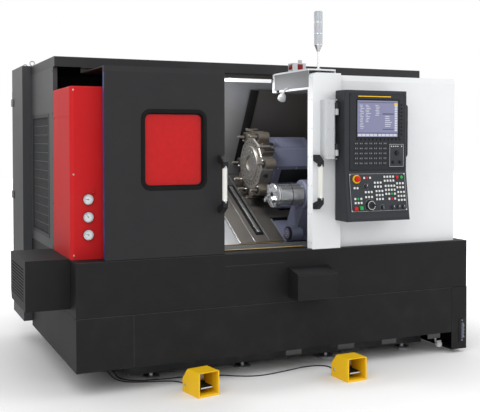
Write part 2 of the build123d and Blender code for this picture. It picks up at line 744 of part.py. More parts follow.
def front_left_wall():
    """Guard sheet behind the open door, turned in to the end wall with the hole for the spindle nose."""
    top = slant(COVER_CORNER + COVER_STEP, COVER_RISE)[1]
    front = block((GUARD_LEFT, GUARD_RIGHT), (GUARD_FRONT, GUARD_FRONT + SHEET), (BASE_TOP, top))
    end = prism_x(chamber_outline(), (GUARD_WALL_X, GUARD_WALL_X + SHEET))
    end -= rod_x(SPINDLE_Y, SPINDLE_Z, NOSE_HOLE_RADIUS, (GUARD_WALL_X - 1, GUARD_WALL_X + SHEET + 1))
    edge = block((GUARD_RIGHT - SHEET, GUARD_RIGHT), (GUARD_FRONT, GUARD_FRONT + FLANGE), (BASE_TOP, top))
    return front + end + edge


def right_post():
    """Fixed folded post with a rounded upper corner, and the header that ties it to the roof."""
    right = POST_LEFT + POST_WIDTH
    zs = (BASE_TOP, COVER_TOP)
    post = block((POST_LEFT, right), (0, POST_EDGE_DEPTH), zs)
    post = fillet(post.edges().filter_by(Axis.Y).group_by(Axis.Z)[-1].sort_by(Axis.X)[0], POST_CORNER)
    post -= block((POST_LEFT + SHEET, right - SHEET), (SHEET, POST_EDGE_DEPTH + 1),
                  (zs[0] + SHEET, zs[1] - POST_CORNER))
    ys = (POST_EDGE_DEPTH, HEADER_BACK)
    cheek = block((POST_LEFT, POST_LEFT + HEADER_THICK), ys, (HEADER_BOTTOM, HEADER_TOP))
    notch = block((POST_LEFT - 1, POST_LEFT + HEADER_THICK + 1), (HEADER_BACK - 4 * FLANGE,
                                                                  HEADER_BACK - 2 * FLANGE),
                  (HEADER_BOTTOM - 1, HEADER_BOTTOM + FLANGE))
    lid = block((POST_LEFT, right), ys, (HEADER_TOP - HEADER_THICK, HEADER_TOP))
    far = block((right - SHEET, right), ys, (PANEL_TOP, HEADER_TOP))
    return post + (cheek - notch) + lid + far


def right_enclosure():
    """Plain front panel with a bevelled top, turned back along the right side to the rear."""
    left = POST_LEFT + POST_WIDTH
    section = [(PANEL_FRONT, BASE_TOP), (PANEL_FRONT, PANEL_TOP - PANEL_BEVEL),
               (PANEL_FRONT + PANEL_BEVEL / 3, PANEL_TOP), (ROOF_FRONT, PANEL_TOP), (ROOF_FRONT, BASE_TOP)]
    outer = prism_x(section, (left, PANEL_RIGHT))
    outer = fillet(outer.edges().filter_by(Axis.Z).group_by(Axis.Y)[0].sort_by(Axis.X)[-1], SHEET * 2)
    inner = block((left - 1, PANEL_RIGHT - SHEET), (PANEL_FRONT + SHEET, ROOF_FRONT + 1),
                  (BASE_TOP - 1, PANEL_TOP - PANEL_BEVEL - SHEET))
    upper = block((left - 1, PANEL_RIGHT - SHEET), (PANEL_FRONT + PANEL_BEVEL, ROOF_FRONT + 1),
                  (BASE_TOP, PANEL_TOP - SHEET))
    zs = (BASE_TOP, ROOF_TOP - ROOF_FASCIA)
    step = block((PANEL_RIGHT - SHEET, BASE_LENGTH), (ROOF_FRONT, ROOF_FRONT + SHEET), zs)
    side = block((BASE_LENGTH - SHEET, BASE_LENGTH), (ROOF_FRONT, BODY_DEPTH - SHEET), zs)
    return outer - inner - upper + step + side


def door_tracks():
    """Channel rail under the roof for the door, the strip it slides on and the two sill rails."""
    rail = block((DOOR_LEFT, POST_LEFT), (RAIL_FRONT, RAIL_BACK), (RAIL_BOTTOM, RAIL_TOP))
    rail -= block((DOOR_LEFT - 1, POST_LEFT + 1), (RAIL_FRONT - 1, RAIL_BACK - SHEET),
                  (RAIL_BOTTOM + SHEET, RAIL_TOP - SHEET))
    slide = block((DOOR_LEFT, POST_LEFT), (SHEET * 2, DOOR_THICK - SHEET * 2), (BASE_TOP,
                                                                                DOOR_BOTTOM - SLIDE_GAP))
    front_sill = block((GUARD_RIGHT, POST_LEFT), (LEDGE_FRONT - TRACK_DEPTH / 2, LEDGE_FRONT),
                       (BASE_TOP, BASE_TOP + SHEET * 2))
    back_sill = block((GUARD_RIGHT, POST_LEFT), (TRAY_BACK, TRAY_BACK + TRACK_DEPTH / 2),
                      (BASE_TOP - SHEET, BASE_TOP + SHEET / 4))
    return as_group([rail, slide, front_sill, back_sill])


def work_light():
    """Lamp bar under the door rail, with a rounded lens edge."""
    low = RAIL_BOTTOM - LIGHT_HEIGHT
    bar = block((LIGHT_LEFT, LIGHT_RIGHT), (RAIL_FRONT, RAIL_FRONT + LIGHT_DEPTH), (low, RAIL_BOTTOM))
    return fillet(bar.edges().filter_by(Axis.X).group_by(Axis.Z)[0], LIGHT_DEPTH / 3)


def tower_pole():
    """Round foot, pole and cup of the signal tower, turned in one piece."""
    z0 = HEADER_TOP
    outline = [
        (0, z0), (TOWER_FOOT_RADIUS, z0), (TOWER_FOOT_RADIUS, z0 + 8), (TOWER_POLE_RADIUS, z0 + 14),
        (TOWER_POLE_RADIUS, TOWER_POLE_TOP), (TOWER_LAMP_RADIUS - 2, TOWER_CONE_TOP), (0, TOWER_CONE_TOP),
    ]
    face = Plane.XZ * make_face(Polyline(*outline, close=True))
    return Pos(TOWER_X, TOWER_Y, 0) * revolve(face, Axis.Z)


def signal_lamp():
    """Stacked lens of the signal tower: three bands with grooves between them."""
    lamp = rod_z(TOWER_X, TOWER_Y, TOWER_LAMP_RADIUS, (TOWER_CONE_TOP, TOWER_TOP))
    lamp = fillet(lamp.edges().group_by(Axis.Z)[-1], TOWER_POLE_RADIUS)
    third = (TOWER_TOP - TOWER_CONE_TOP) / 3
    for band in (1, 2):
        z = TOWER_CONE_TOP + band * third
        ring = rod_z(TOWER_X, TOWER_Y, TOWER_LAMP_RADIUS + 1, (z - 2, z + 2))
        lamp -= ring - rod_z(TOWER_X, TOWER_Y, TOWER_LAMP_RADIUS - 2, (z - 3, z + 3))
    return lamp


def interlock_switch():
    """Door switch box with its plug, on the header over the post."""
    top = HEADER_TOP + INTERLOCK_HEIGHT
    body = block((POST_LEFT, POST_LEFT + INTERLOCK_LENGTH), INTERLOCK_DEPTH, (HEADER_TOP, top))
    body = fillet(body.edges().filter_by(Axis.Z), SHEET)
    plug = rod_z(POST_LEFT + INTERLOCK_LENGTH - 2 * PLUG_RADIUS, sum(INTERLOCK_DEPTH) / 2, PLUG_RADIUS,
                 (top - 1, top + PLUG_HEIGHT))
    return body + plug


def handle_brackets(x):
    """Two angled brackets of a grab handle, one above and one below the grip."""
    half = GRIP_LENGTH / 2
    out = -HANDLE_REACH - GRIP_RADIUS
    back = -HANDLE_REACH + GRIP_RADIUS
    outline = [
        (0, half + BRACKET_RISE), (-HANDLE_REACH / 2, half + BRACKET_RISE), (out, half + BRACKET_RISE / 2),
        (out, half), (back, half), (back, half + BRACKET_RISE / 4), (0, half + BRACKET_RISE / 2),
    ]
    upper = prism_x([(y, HANDLE_MIDDLE_Z + z) for y, z in outline], (x - BRACKET_WIDTH / 2,
                                                                     x + BRACKET_WIDTH / 2))
    upper = fillet(upper.edges().filter_by(Axis.X).group_by(Axis.Y)[0], SHEET)
    lower = prism_x([(y, HANDLE_MIDDLE_Z - z) for y, z in outline], (x - BRACKET_WIDTH / 2,
                                                                     x + BRACKET_WIDTH / 2))
    lower = fillet(lower.edges().filter_by(Axis.X).group_by(Axis.Y)[0], SHEET)
    return as_group([upper, lower])


def handle_grip(x):
    """Round grip between the brackets, with three shallow grooves."""
    half = GRIP_LENGTH / 2
    grip = rod_z(x, -HANDLE_REACH, GRIP_RADIUS, (HANDLE_MIDDLE_Z - half, HANDLE_MIDDLE_Z + half))
    for step in (-1, 0, 1):
        z = HANDLE_MIDDLE_Z + step * GRIP_LENGTH / 4
        ring = rod_z(x, -HANDLE_REACH, GRIP_RADIUS + 1, (z - 2, z + 2))
        grip -= ring - rod_z(x, -HANDLE_REACH, GRIP_RADIUS - 1, (z - 3, z + 3))
    return grip


# Sliding door

def left_door():
    """Folded door pan with a rounded window hole; its top runs back to two rollers in the rail."""
    right = DOOR_LEFT + DOOR_WIDTH
    section = [(0, DOOR_BOTTOM), (0, DOOR_TOP - DOOR_BEVEL), (DOOR_BEVEL_DEPTH, DOOR_TOP), (DOOR_THICK,
                                                                                            DOOR_TOP),
               (DOOR_THICK, DOOR_BOTTOM)]
    outer = prism_x(section, (DOOR_LEFT, right))
    outer = fillet(outer.edges().filter_by(Axis.Z).group_by(Axis.Y)[0], SHEET * 2)
    inner = block((DOOR_LEFT + SHEET, right - SHEET), (SHEET, DOOR_THICK + 1),
                  (DOOR_BOTTOM + SHEET, DOOR_TOP - DOOR_BEVEL - SHEET))
    door = outer - inner
    door -= rounded_slab(WINDOW_X, WINDOW_Z, WINDOW_WIDTH + 2 * WINDOW_LIP, WINDOW_HEIGHT + 2 * WINDOW_LIP,
                         WINDOW_CORNER + WINDOW_LIP, (-1, DOOR_THICK))
    rail_mid = (RAIL_BOTTOM + RAIL_TOP) / 2
    door += block((DOOR_LEFT, right), (DOOR_THICK - SHEET, RAIL_FRONT - SEAM_GAP), (DOOR_TOP - 2 * SHEET,
                                                                                    DOOR_TOP))
    for x in (DOOR_LEFT + DOOR_WIDTH / 5, right - DOOR_WIDTH / 5):
        door += block((x - FLANGE, x + FLANGE), (RAIL_FRONT - 2 * SHEET, RAIL_FRONT - SEAM_GAP),
                      (DOOR_TOP - SHEET, rail_mid + ROLLER_RADIUS))
        door += rod_y(x, rail_mid, ROLLER_RADIUS / 3, (RAIL_FRONT - SHEET, RAIL_FRONT + ROLLER_WIDTH + 1))
        door += rod_y(x, rail_mid, ROLLER_RADIUS, (RAIL_FRONT + 1, RAIL_FRONT + ROLLER_WIDTH))
    return door


def window_frame():
    """Rounded window frame: a proud rim and a sleeve that passes through the door skin."""
    rim = rounded_slab(WINDOW_X, WINDOW_Z, WINDOW_WIDTH + 2 * WINDOW_RIM, WINDOW_HEIGHT + 2 * WINDOW_RIM,
                       WINDOW_CORNER + WINDOW_RIM, (-RIM_PROUD, 0))
    rim = fillet(rim.faces().sort_by(Axis.Y)[0].edges(), RIM_PROUD / 2)
    sleeve = rounded_slab(WINDOW_X, WINDOW_Z, WINDOW_WIDTH + 2 * WINDOW_LIP, WINDOW_HEIGHT + 2 * WINDOW_LIP,
                          WINDOW_CORNER + WINDOW_LIP, (0, GLASS_SET_BACK + GLASS_THICK))
    light = rounded_slab(WINDOW_X, WINDOW_Z, WINDOW_WIDTH, WINDOW_HEIGHT, WINDOW_CORNER,
                         (-RIM_PROUD - 1, GLASS_SET_BACK + GLASS_THICK + 1))
    seat = rounded_slab(WINDOW_X, WINDOW_Z, WINDOW_WIDTH + WINDOW_LIP, WINDOW_HEIGHT + WINDOW_LIP,
                        WINDOW_CORNER + WINDOW_LIP / 2, (GLASS_SET_BACK, GLASS_SET_BACK + GLASS_THICK + 1))
    return rim + sleeve - light - seat


def window_glass():
    """Safety pane seated behind the lip of the frame."""
    return rounded_slab(WINDOW_X, WINDOW_Z, WINDOW_WIDTH + WINDOW_LIP, WINDOW_HEIGHT + WINDOW_LIP,
                        WINDOW_CORNER + WINDOW_LIP / 2, (GLASS_SET_BACK, GLASS_SET_BACK + GLASS_THICK))


# Headstock and spindle

def headstock():
    """Headstock casting: a round bearing housing blended down to a slanted foot, bored through."""
    low, high = HEADSTOCK_FOOT
    xs = (HEADSTOCK_LEFT, HEADSTOCK_RIGHT)
    body = rod_x(SPINDLE_Y, SPINDLE_Z, HEADSTOCK_RADIUS, xs)
    web = [(low, -WAY_DEPTH), (high, -WAY_DEPTH), (high, -HEADSTOCK_FOOT_DEPTH),
           (HEADSTOCK_RADIUS + 2 * BED_WALL, -HEADSTOCK_FOOT_DEPTH), (HEADSTOCK_RADIUS, 0),
           (-HEADSTOCK_RADIUS, 0), (low - HEADSTOCK_TOE, -WAY_DEPTH + BED_WALL)]
    casting = body + slant_prism(web, xs)
    rib_pitch = (HEADSTOCK_RIGHT - HEADSTOCK_LEFT) / 4
    for index in range(1, 4):
        x = HEADSTOCK_LEFT + index * rib_pitch
        ring = rod_x(SPINDLE_Y, SPINDLE_Z, HEADSTOCK_RADIUS + SHEET * 2, (x - SHEET * 2, x + SHEET * 2))
        casting += ring
    return casting - rod_x(SPINDLE_Y, SPINDLE_Z, SPINDLE_RADIUS + FIT_GAP, (xs[0] - 1, xs[1] + 1))


def spindle():
    """Hollow spindle turned with its nose flange, with the chuck actuator on its rear end."""
    left, right = HEADSTOCK_LEFT, HEADSTOCK_RIGHT
    profile = [
        (SPINDLE_LEFT, ACTUATOR_RADIUS - 10), (SPINDLE_LEFT + 10, ACTUATOR_RADIUS),
        (SPINDLE_LEFT + ACTUATOR_LENGTH, ACTUATOR_RADIUS), (SPINDLE_LEFT + ACTUATOR_LENGTH, SPINDLE_RADIUS),
        (right + SHEET, SPINDLE_RADIUS), (right + SHEET, NOSE_RADIUS), (CHUCK_LEFT, NOSE_RADIUS),
    ]
    shaft = turned_x(SPINDLE_Y, SPINDLE_Z, profile)
    groove = rod_x(SPINDLE_Y, SPINDLE_Z, ACTUATOR_RADIUS + 1, (SPINDLE_LEFT + 60, SPINDLE_LEFT + 72))
    groove -= rod_x(SPINDLE_Y, SPINDLE_Z, ACTUATOR_RADIUS - 6, (SPINDLE_LEFT + 59, SPINDLE_LEFT + 73))
    return shaft - groove - rod_x(SPINDLE_Y, SPINDLE_Z, SPINDLE_BORE, (SPINDLE_LEFT - 1, CHUCK_LEFT + 1))


def main_chuck():
    """Power chuck body with a chamfered rim, T-slots for the jaws and a through bore."""
    right = CHUCK_LEFT + CHUCK_LENGTH
    body = rod_x(SPINDLE_Y, SPINDLE_Z, CHUCK_RADIUS, (CHUCK_LEFT, right))
    body = chamfer(body.edges().group_by(Axis.X)[-1], 6)
    body -= rod_x(SPINDLE_Y, SPINDLE_Z, SPINDLE_BORE, (CHUCK_LEFT - 1, right + 1))
    for turn in range(JAW_COUNT):
        reach = (JAW_INNER - SLOT_RELIEF, CHUCK_RADIUS + 1)
        slot = block((right - SLOT_DEPTH, right + 1), (-JAW_WIDTH / 4, JAW_WIDTH / 4), reach)
        slot += block((right - SLOT_DEPTH, right - JAW_TENON), (-JAW_WIDTH / 2.6, JAW_WIDTH / 2.6), reach)
        body -= around_spindle(slot, turn * 360 / JAW_COUNT)
    return body


def around_spindle(piece, turn):
    """Move a piece drawn on the X axis to the spindle axis, turned about it."""
    return Pos(0, SPINDLE_Y, SPINDLE_Z) * (Rot(turn, 0, 0) * piece)


def chuck_jaws():
    """Three stepped hard jaws with tenons in the chuck slots."""
    jaws = []
    right = CHUCK_LEFT + CHUCK_LENGTH
    for turn in range(JAW_COUNT):
        jaw = block((right, right + JAW_LENGTH), (-JAW_WIDTH / 2, JAW_WIDTH / 2), (JAW_INNER, JAW_OUTER))
        jaw -= block((right + JAW_LENGTH / 3, right + JAW_LENGTH + 1), (-JAW_WIDTH, JAW_WIDTH),
                     (JAW_INNER + 2 * JAW_STEP, JAW_OUTER + 1))
        jaw -= block((right + 2 * JAW_LENGTH / 3, right + JAW_LENGTH + 1), (-JAW_WIDTH, JAW_WIDTH),
                     (JAW_INNER + JAW_STEP, JAW_OUTER + 1))
        jaw += block((right - JAW_TENON, right), (-JAW_WIDTH / 4, JAW_WIDTH / 4), (JAW_INNER,
                                                                                   JAW_OUTER - SLOT_RELIEF))
        jaws.append(around_spindle(jaw, turn * 360 / JAW_COUNT))
    return as_group(jaws)


def spindle_motor():
    """Finned spindle motor on a foot behind the headstock."""
    y, z = slant(MOTOR_ALONG, -MOTOR_DEPTH)
    xs = (HEADSTOCK_LEFT + MOTOR_INSET, HEADSTOCK_RIGHT - MOTOR_INSET)
    motor = rod_x(y, z, MOTOR_RADIUS, xs)
    pitch = (xs[1] - xs[0]) / (MOTOR_FINS + 1)
    for index in range(MOTOR_FINS):
        x = xs[0] + (index + 1) * pitch
        motor += rod_x(y, z, MOTOR_RADIUS + MOTOR_FIN_HEIGHT, (x - SHEET, x + SHEET))
    foot = (MOTOR_ALONG - MOTOR_FOOT_WIDTH / 2, MOTOR_ALONG + MOTOR_FOOT_WIDTH / 2)
    return motor + slant_block(foot, (-HEADSTOCK_FOOT_DEPTH, -MOTOR_DEPTH), xs)


# Way covers and slides

def folded_cover(xs, foot, drop, top):
    """Sheet that lies along the slant and folds up behind the slide."""
    low = -COVER_DEPTH - drop
    back = COVER_CORNER + drop
    outline = [(foot, low), (back, low), (back, top), (back - SHEET, top), (back - SHEET, low + SHEET),
               (foot, low + SHEET)]
    return slant_prism(outline, xs)


def fixed_way_covers():
    """Fixed covers at both ends of the bed, joined by one tall back plate."""
    left = GUARD_WALL_X + SHEET
    back = folded_cover((left, FIXED_COVER_RIGHT), COVER_FOOT, COVER_STEP, COVER_RISE)
    apron = slant_block((COVER_FOOT, COVER_CLEAR_TAIL), (-COVER_DEPTH - COVER_STEP,
                                                         -COVER_DEPTH - COVER_STEP + SHEET),
                        (FIXED_COVER_RIGHT - 1, STRIP_RIGHT + FLANGE - SHEET))
    middle = slant_block((COVER_CORNER + COVER_STEP - SHEET, COVER_CORNER + COVER_STEP),
                         (-COVER_DEPTH - COVER_STEP, COVER_RISE), (FIXED_COVER_RIGHT - 1,
                                                                   FIXED_COVER_FAR + 1))
    far = folded_cover((FIXED_COVER_FAR, FIXED_COVER_END), COVER_CLEAR_TAIL, COVER_STEP, COVER_RISE)
    return back + apron + middle + far


def moving_way_cover():
    """Cover that travels with the saddle: stepped leaves, a slot for the cross slide and a back plate."""
    base = -COVER_DEPTH
    leaves = []
    for leaf in range(COVER_LEAVES):
        left = STRIP_RIGHT - (leaf + 1) * COVER_LEAF
        lift = -leaf * COVER_LEAF_DROP
        leaves.append(slant_block((COVER_FOOT, COVER_CORNER - SHEET), (base + lift, base + lift + SHEET),
                                  (left - 1, left + COVER_LEAF)))
    deck_left = STRIP_RIGHT - 1
    deck = slant_block((COVER_CLEAR_TAIL, COVER_CORNER), (base, base + SHEET), (deck_left,
                                                                                MOVING_COVER_RIGHT))
    cover = deck
    for leaf in leaves:
        cover += leaf
    slot_low = CROSS_FRONT - CROSS_TRAVEL - SLOT_MARGIN
    slot = slant_block((slot_low, CROSS_BACK + SLOT_MARGIN), (base - 20, base + 20),
                       (CROSS_LEFT - SLOT_MARGIN, CROSS_RIGHT + SLOT_MARGIN))
    back = slant_block((COVER_CORNER - SHEET, COVER_CORNER), (base, COVER_RISE - 2 * FLANGE),
                       (BACK_PLATE_LEFT, BACK_PLATE_RIGHT))
    leg_inset = 2 * CROSS_RAIL_WIDTH + SLOT_MARGIN
    legs = [slant_block((low, high), (-SADDLE_TOP_DEPTH, base), (CROSS_LEFT + leg_inset,
                                                                 CROSS_RIGHT - leg_inset))
            for low, high in ((SADDLE_FRONT, SADDLE_FRONT + SLOT_MARGIN), (SADDLE_BACK - SLOT_MARGIN,
                                                                           SADDLE_BACK))]
    cover = cover - slot + back
    for leg in legs:
        cover += leg
    return cover


def saddle():
    """Saddle that straddles the box ways, with two cross ways on top."""
    xs = (SADDLE_LEFT, SADDLE_RIGHT)
    rail_top = -WAY_DEPTH + RAIL_HEIGHT
    body = slant_block((SADDLE_FRONT, SADDLE_BACK), (rail_top + SLIDE_GAP, -SADDLE_TOP_DEPTH), xs)
    first, last = SADDLE_RAILS
    for low, high in ((SADDLE_FRONT, first[0] - SLIDE_GAP), (last[1] + SLIDE_GAP, SADDLE_BACK)):
        body += slant_block((low, high), (rail_top - RAIL_HEIGHT + 8, rail_top + 2), xs)
    body -= slant_block((first[1] + 30, last[0] - 30), (rail_top - 1, -SADDLE_TOP_DEPTH - 60),
                        (SADDLE_LEFT + 60, SADDLE_RIGHT - 60))
    for x in (CROSS_LEFT + CROSS_RAIL_WIDTH, CROSS_RIGHT - 2 * CROSS_RAIL_WIDTH):
        body += slant_block((SADDLE_FRONT, SADDLE_BACK), (-SADDLE_TOP_DEPTH - 1,
                                                          -SADDLE_TOP_DEPTH + CROSS_RAIL_HEIGHT),
                            (x, x + CROSS_RAIL_WIDTH))
    return body


def cross_slide():
    """Cross slide with lips over the cross ways and a skirt that hides the slot in the way cover."""
    low = -SADDLE_TOP_DEPTH + CROSS_RAIL_HEIGHT + SLIDE_GAP
    slide = slant_block((CROSS_FRONT, CROSS_BACK), (low, -CROSS_TOP_DEPTH), (CROSS_LEFT, CROSS_RIGHT))
    inner = (CROSS_LEFT + CROSS_RAIL_WIDTH - SLIDE_GAP, CROSS_RIGHT - CROSS_RAIL_WIDTH + SLIDE_GAP)
    for xs in ((CROSS_LEFT, inner[0]), (inner[1], CROSS_RIGHT)):
        slide += slant_block((CROSS_FRONT, CROSS_BACK), (low - CROSS_RAIL_HEIGHT + 3, low + 1), xs)
    skirt_low = -COVER_DEPTH + SHEET + SKIRT_LIFT
    skirt = slant_block((SKIRT_FRONT, SKIRT_BACK), (skirt_low, skirt_low + SHEET),
                        (CROSS_LEFT - 3 * SLOT_MARGIN, CROSS_RIGHT + 3 * SLOT_MARGIN))
    return slide + skirt


# Turret

def turret_centre():
    """Y and Z of the turret axis."""
    return slant(TURRET_OFFSET, 0.0)


def at_turret(piece, turn):
    """Move a piece drawn on the X axis to the turret axis, turned about it."""
    y, z = turret_centre()
    return Pos(0, y, z) * (Rot(turn, 0, 0) * piece)


def turret_housing():
    """Turret housing: a chamfered box on the cross slide with a round collar behind the disc."""
    left = TURRET_LEFT + TURRET_THICK + COLLAR_GAP
    xs = (left + COLLAR_THICK, left + HOUSING_LENGTH)
    s = TURRET_OFFSET
    outline = [(s - 120, -CROSS_TOP_DEPTH), (s + 230, -CROSS_TOP_DEPTH), (s + 230, 60), (s + 130, 160),
               (s - 60, 160), (s - 148, 60), (s - 148, -120)]
    box = slant_prism(outline, xs)
    box = chamfer(box.faces().sort_by(Axis.X)[-1].edges(), 20)
    y, z = turret_centre()
    collar = rod_x(y, z, COLLAR_RADIUS, (left, left + COLLAR_THICK))
    collar = chamfer(collar.edges().group_by(Axis.X)[0], 5)
    bore = rod_x(y, z, TURRET_SHAFT_RADIUS + FIT_GAP, (left - 1, left + TURRET_SHAFT_LENGTH))
    motor = rod_x(y, z, 84, (xs[1] - 1, xs[1] + 70))
    return box + collar + motor - bore


def turret_disc():
    """Twelve-sided turret disc with a tool socket in each flat, a dished hub and its index shaft."""
    left = TURRET_LEFT
    disc = extrude(Plane((left, 0, 0), x_dir=(0, 0, 1), z_dir=(1, 0, 0))
                   * RegularPolygon(TURRET_FLAT_RADIUS, TURRET_STATIONS, major_radius=False,
                                    rotation=180 / TURRET_STATIONS),
                   amount=TURRET_THICK)
    disc = chamfer(disc.faces().sort_by(Axis.X)[0].edges(), 5)
    hub = rod_x(0, 0, HUB_RADIUS, (left - HUB_HEIGHT, left + 1))
    hub = chamfer(hub.edges().group_by(Axis.X)[0], 4)
    dish = rod_x(0, 0, HUB_DISH_RADIUS, (left - HUB_HEIGHT - 1, left))
    shaft = rod_x(0, 0, TURRET_SHAFT_RADIUS, (left + TURRET_THICK - 1,
                                              left + TURRET_THICK + TURRET_SHAFT_LENGTH - 4))
    disc = disc + (hub - dish) + shaft
    step = 360 / TURRET_STATIONS
    middle = left + TURRET_THICK / 2
    for station in range(TURRET_STATIONS):
        socket = rod_z(middle, 0, SOCKET_RADIUS, (TURRET_FLAT_RADIUS - SOCKET_DEPTH, TURRET_FLAT_RADIUS + 1))
        disc -= Rot(station * step + SLANT_DEG, 0, 0) * socket
    return at_turret(disc, 0)


def turning_holder():
    """Square-shank holder: shank, block with a wedge and a tool bar that points to the left."""
    middle = TURRET_LEFT + TURRET_THICK / 2
    low = TURRET_FLAT_RADIUS
    shank = rod_z(middle, 0, SOCKET_RADIUS, (low - SOCKET_DEPTH + 4, low + 1))
    top = TOOL_REACH - 16
    half = HOLDER_WIDTH / 2
    body = block((middle - HOLDER_HALF, middle + HOLDER_HALF), (-half, half), (low, top))
    body = chamfer(body.edges().filter_by(Axis.X).group_by(Axis.Z)[-1], half / 4)
    bar = block((middle - TOOL_BAR_REACH, middle + TOOL_BAR / 2), (-TOOL_BAR / 2, TOOL_BAR / 2),
                (TOOL_REACH - TOOL_BAR, TOOL_REACH - 2))
    bolts = [rod_z(middle - HOLDER_HALF / 2, side * half / 2, 6, (top - 2, top + 6)) for side in (-1, 1)]
    holder = shank + body + bar
    for bolt in bolts:
        holder += bolt
    return holder


def boring_holder():
    """Round holder: shank, block and a boring bar held along the spindle direction."""
    middle = TURRET_LEFT + TURRET_THICK / 2
    low = TURRET_FLAT_RADIUS
    axis = low + BORING_AXIS_RISE
    half = HOLDER_WIDTH / 2
    shank = rod_z(middle, 0, SOCKET_RADIUS, (low - SOCKET_DEPTH + 4, low + 1))
    body = block((middle - HOLDER_HALF + 6, middle + HOLDER_HALF - 6), (-half, half), (low, axis))
    body += rod_x(0, axis, half, (middle - HOLDER_HALF, middle + HOLDER_HALF - 6))
    bar = rod_x(0, axis, BORING_BAR_RADIUS, (middle - BORING_BAR_REACH, middle - HOLDER_HALF + 1))
    return shank + body + chamfer(bar.edges().group_by(Axis.X)[0], 2)


def tool_holders():
    """Tool holders on ten stations, with none on the two that face toward and away from the spindle."""
    step = 360 / TURRET_STATIONS
    holders = []
    facing = 180 - SLANT_DEG * 2
    for station in range(TURRET_STATIONS):
        angle = station * step
        turn = (angle - facing + 180) % 360 - 180
        if abs(turn) < 1 or abs(abs(turn) - 180) < 1:
            continue
        holder = boring_holder() if station % 2 else turning_holder()
        holders.append(at_turret(holder, angle))
    return as_group(holders)


# Counter spindle

def tailstock():
    """Counter spindle housing on a ribbed column over its own slide, with a skirt under the way cover."""
    xs = (TAIL_LEFT, TAIL_LEFT + TAIL_LENGTH)
    rail_top = -WAY_DEPTH + RAIL_HEIGHT
    body = rod_x(SPINDLE_Y, SPINDLE_Z, TAIL_RADIUS, xs)
    body = chamfer(body.edges().group_by(Axis.X)[0] + body.edges().group_by(Axis.X)[-1], 8)
    low, high = TAIL_COLUMN
    column = slant_prism([(low, rail_top + TAIL_BASE_HEIGHT - 1), (high, rail_top + TAIL_BASE_HEIGHT - 1),
                          (high, -20), (low, -20)], xs)
    base = slant_block(TAIL_FOOT, (rail_top + SLIDE_GAP, rail_top + TAIL_BASE_HEIGHT), xs)
    inner_low, inner_high = TAIL_RAILS[0][0] - SLIDE_GAP, TAIL_RAILS[1][1] + SLIDE_GAP
    for span in ((TAIL_FOOT[0], inner_low), (inner_high, TAIL_FOOT[1])):
        base += slant_block(span, (rail_top - RAIL_HEIGHT + 8, rail_top + 2), xs)
    skirt_low = -COVER_DEPTH - TAIL_SKIRT_DROP
    middle = (xs[0] + xs[1]) / 2
    skirt = slant_block((COVER_FOOT + FLANGE, COVER_CLEAR_TAIL - 8), (skirt_low, skirt_low + SHEET),
                        (middle - TAIL_SKIRT_LENGTH / 2, middle + TAIL_SKIRT_LENGTH / 2))
    bore = rod_x(SPINDLE_Y, SPINDLE_Z, TAIL_SHAFT_RADIUS + FIT_GAP, (xs[0] - 1, xs[0] + TAIL_SHAFT_LENGTH))
    return body + column + base + skirt - bore


def tail_chuck():
    """Counter spindle chuck: a flanged drum turned with its shaft, with rings of holes and three jaws."""
    right = TAIL_LEFT - COLLAR_GAP
    profile = [
        (DRUM_LEFT, DRUM_FLANGE_RADIUS - 4), (DRUM_LEFT + 4, DRUM_FLANGE_RADIUS),
        (DRUM_LEFT + DRUM_FLANGE_LENGTH, DRUM_FLANGE_RADIUS), (DRUM_LEFT + DRUM_FLANGE_LENGTH,
                                                               DRUM_RADIUS - 6),
        (DRUM_LEFT + 2 * DRUM_FLANGE_LENGTH, DRUM_RADIUS), (right, DRUM_RADIUS), (right, TAIL_SHAFT_RADIUS),
        (TAIL_LEFT + TAIL_SHAFT_LENGTH - 6, TAIL_SHAFT_RADIUS),
    ]
    drum = turned_x(SPINDLE_Y, SPINDLE_Z, profile)
    drum -= rod_x(SPINDLE_Y, SPINDLE_Z, SPINDLE_BORE, (DRUM_LEFT - 1, DRUM_LEFT + 120))
    step = 360 / DRUM_HOLES
    for index in range(DRUM_HOLES):
        hole = rod_z((DRUM_LEFT + right) / 2 + 20, 0, DRUM_HOLE_RADIUS, (DRUM_RADIUS - 14, DRUM_RADIUS + 1))
        drum -= around_spindle(hole, (index + 0.25) * step)
        screw = rod_x(0, DRUM_RADIUS - 14, DRUM_HOLE_RADIUS * 2 / 3, (DRUM_LEFT - 1, DRUM_LEFT + 10))
        drum -= around_spindle(screw, (index + 0.5) * step)
    for index in range(JAW_COUNT):
        jaw = block((DRUM_LEFT - TAIL_JAW_LENGTH, DRUM_LEFT + 1), (-TAIL_JAW_WIDTH / 2, TAIL_JAW_WIDTH / 2),
                    (SPINDLE_BORE + 4, DRUM_RADIUS - 4))
        drum += around_spindle(jaw, index * 360 / JAW_COUNT)
    return drum


# Control pendant

def pendant_arm():
    """Hinge box on the post with two lugs that carry the hinge pins."""
    right = HINGE_BOX_LEFT + HINGE_BOX_WIDTH
    box = block((HINGE_BOX_LEFT, right), (-HINGE_BOX_DEPTH, 0), (HINGE_BOX_BOTTOM, HINGE_BOX_TOP))
    box = fillet(box.edges().filter_by(Axis.Z).group_by(Axis.Y)[0], 8)
    for z in hinge_heights():
        lug = rod_z(HINGE_X, HINGE_Y, HINGE_BARREL, (z, z + HINGE_LUG))
        lug += block((right - 1, HINGE_X), (HINGE_Y - HINGE_PIN, HINGE_Y + HINGE_PIN), (z, z + HINGE_LUG))
        pin = rod_z(HINGE_X, HINGE_Y, HINGE_PIN, (z + HINGE_LUG - 1, z + 2 * HINGE_LUG - 4))
        box += lug + pin
    return box


def hinge_heights():
    """Bottom of each of the two pendant hinges."""
    return (HINGE_BOX_BOTTOM + HINGE_LUG / 2, HINGE_BOX_TOP - 5 * HINGE_LUG / 2)


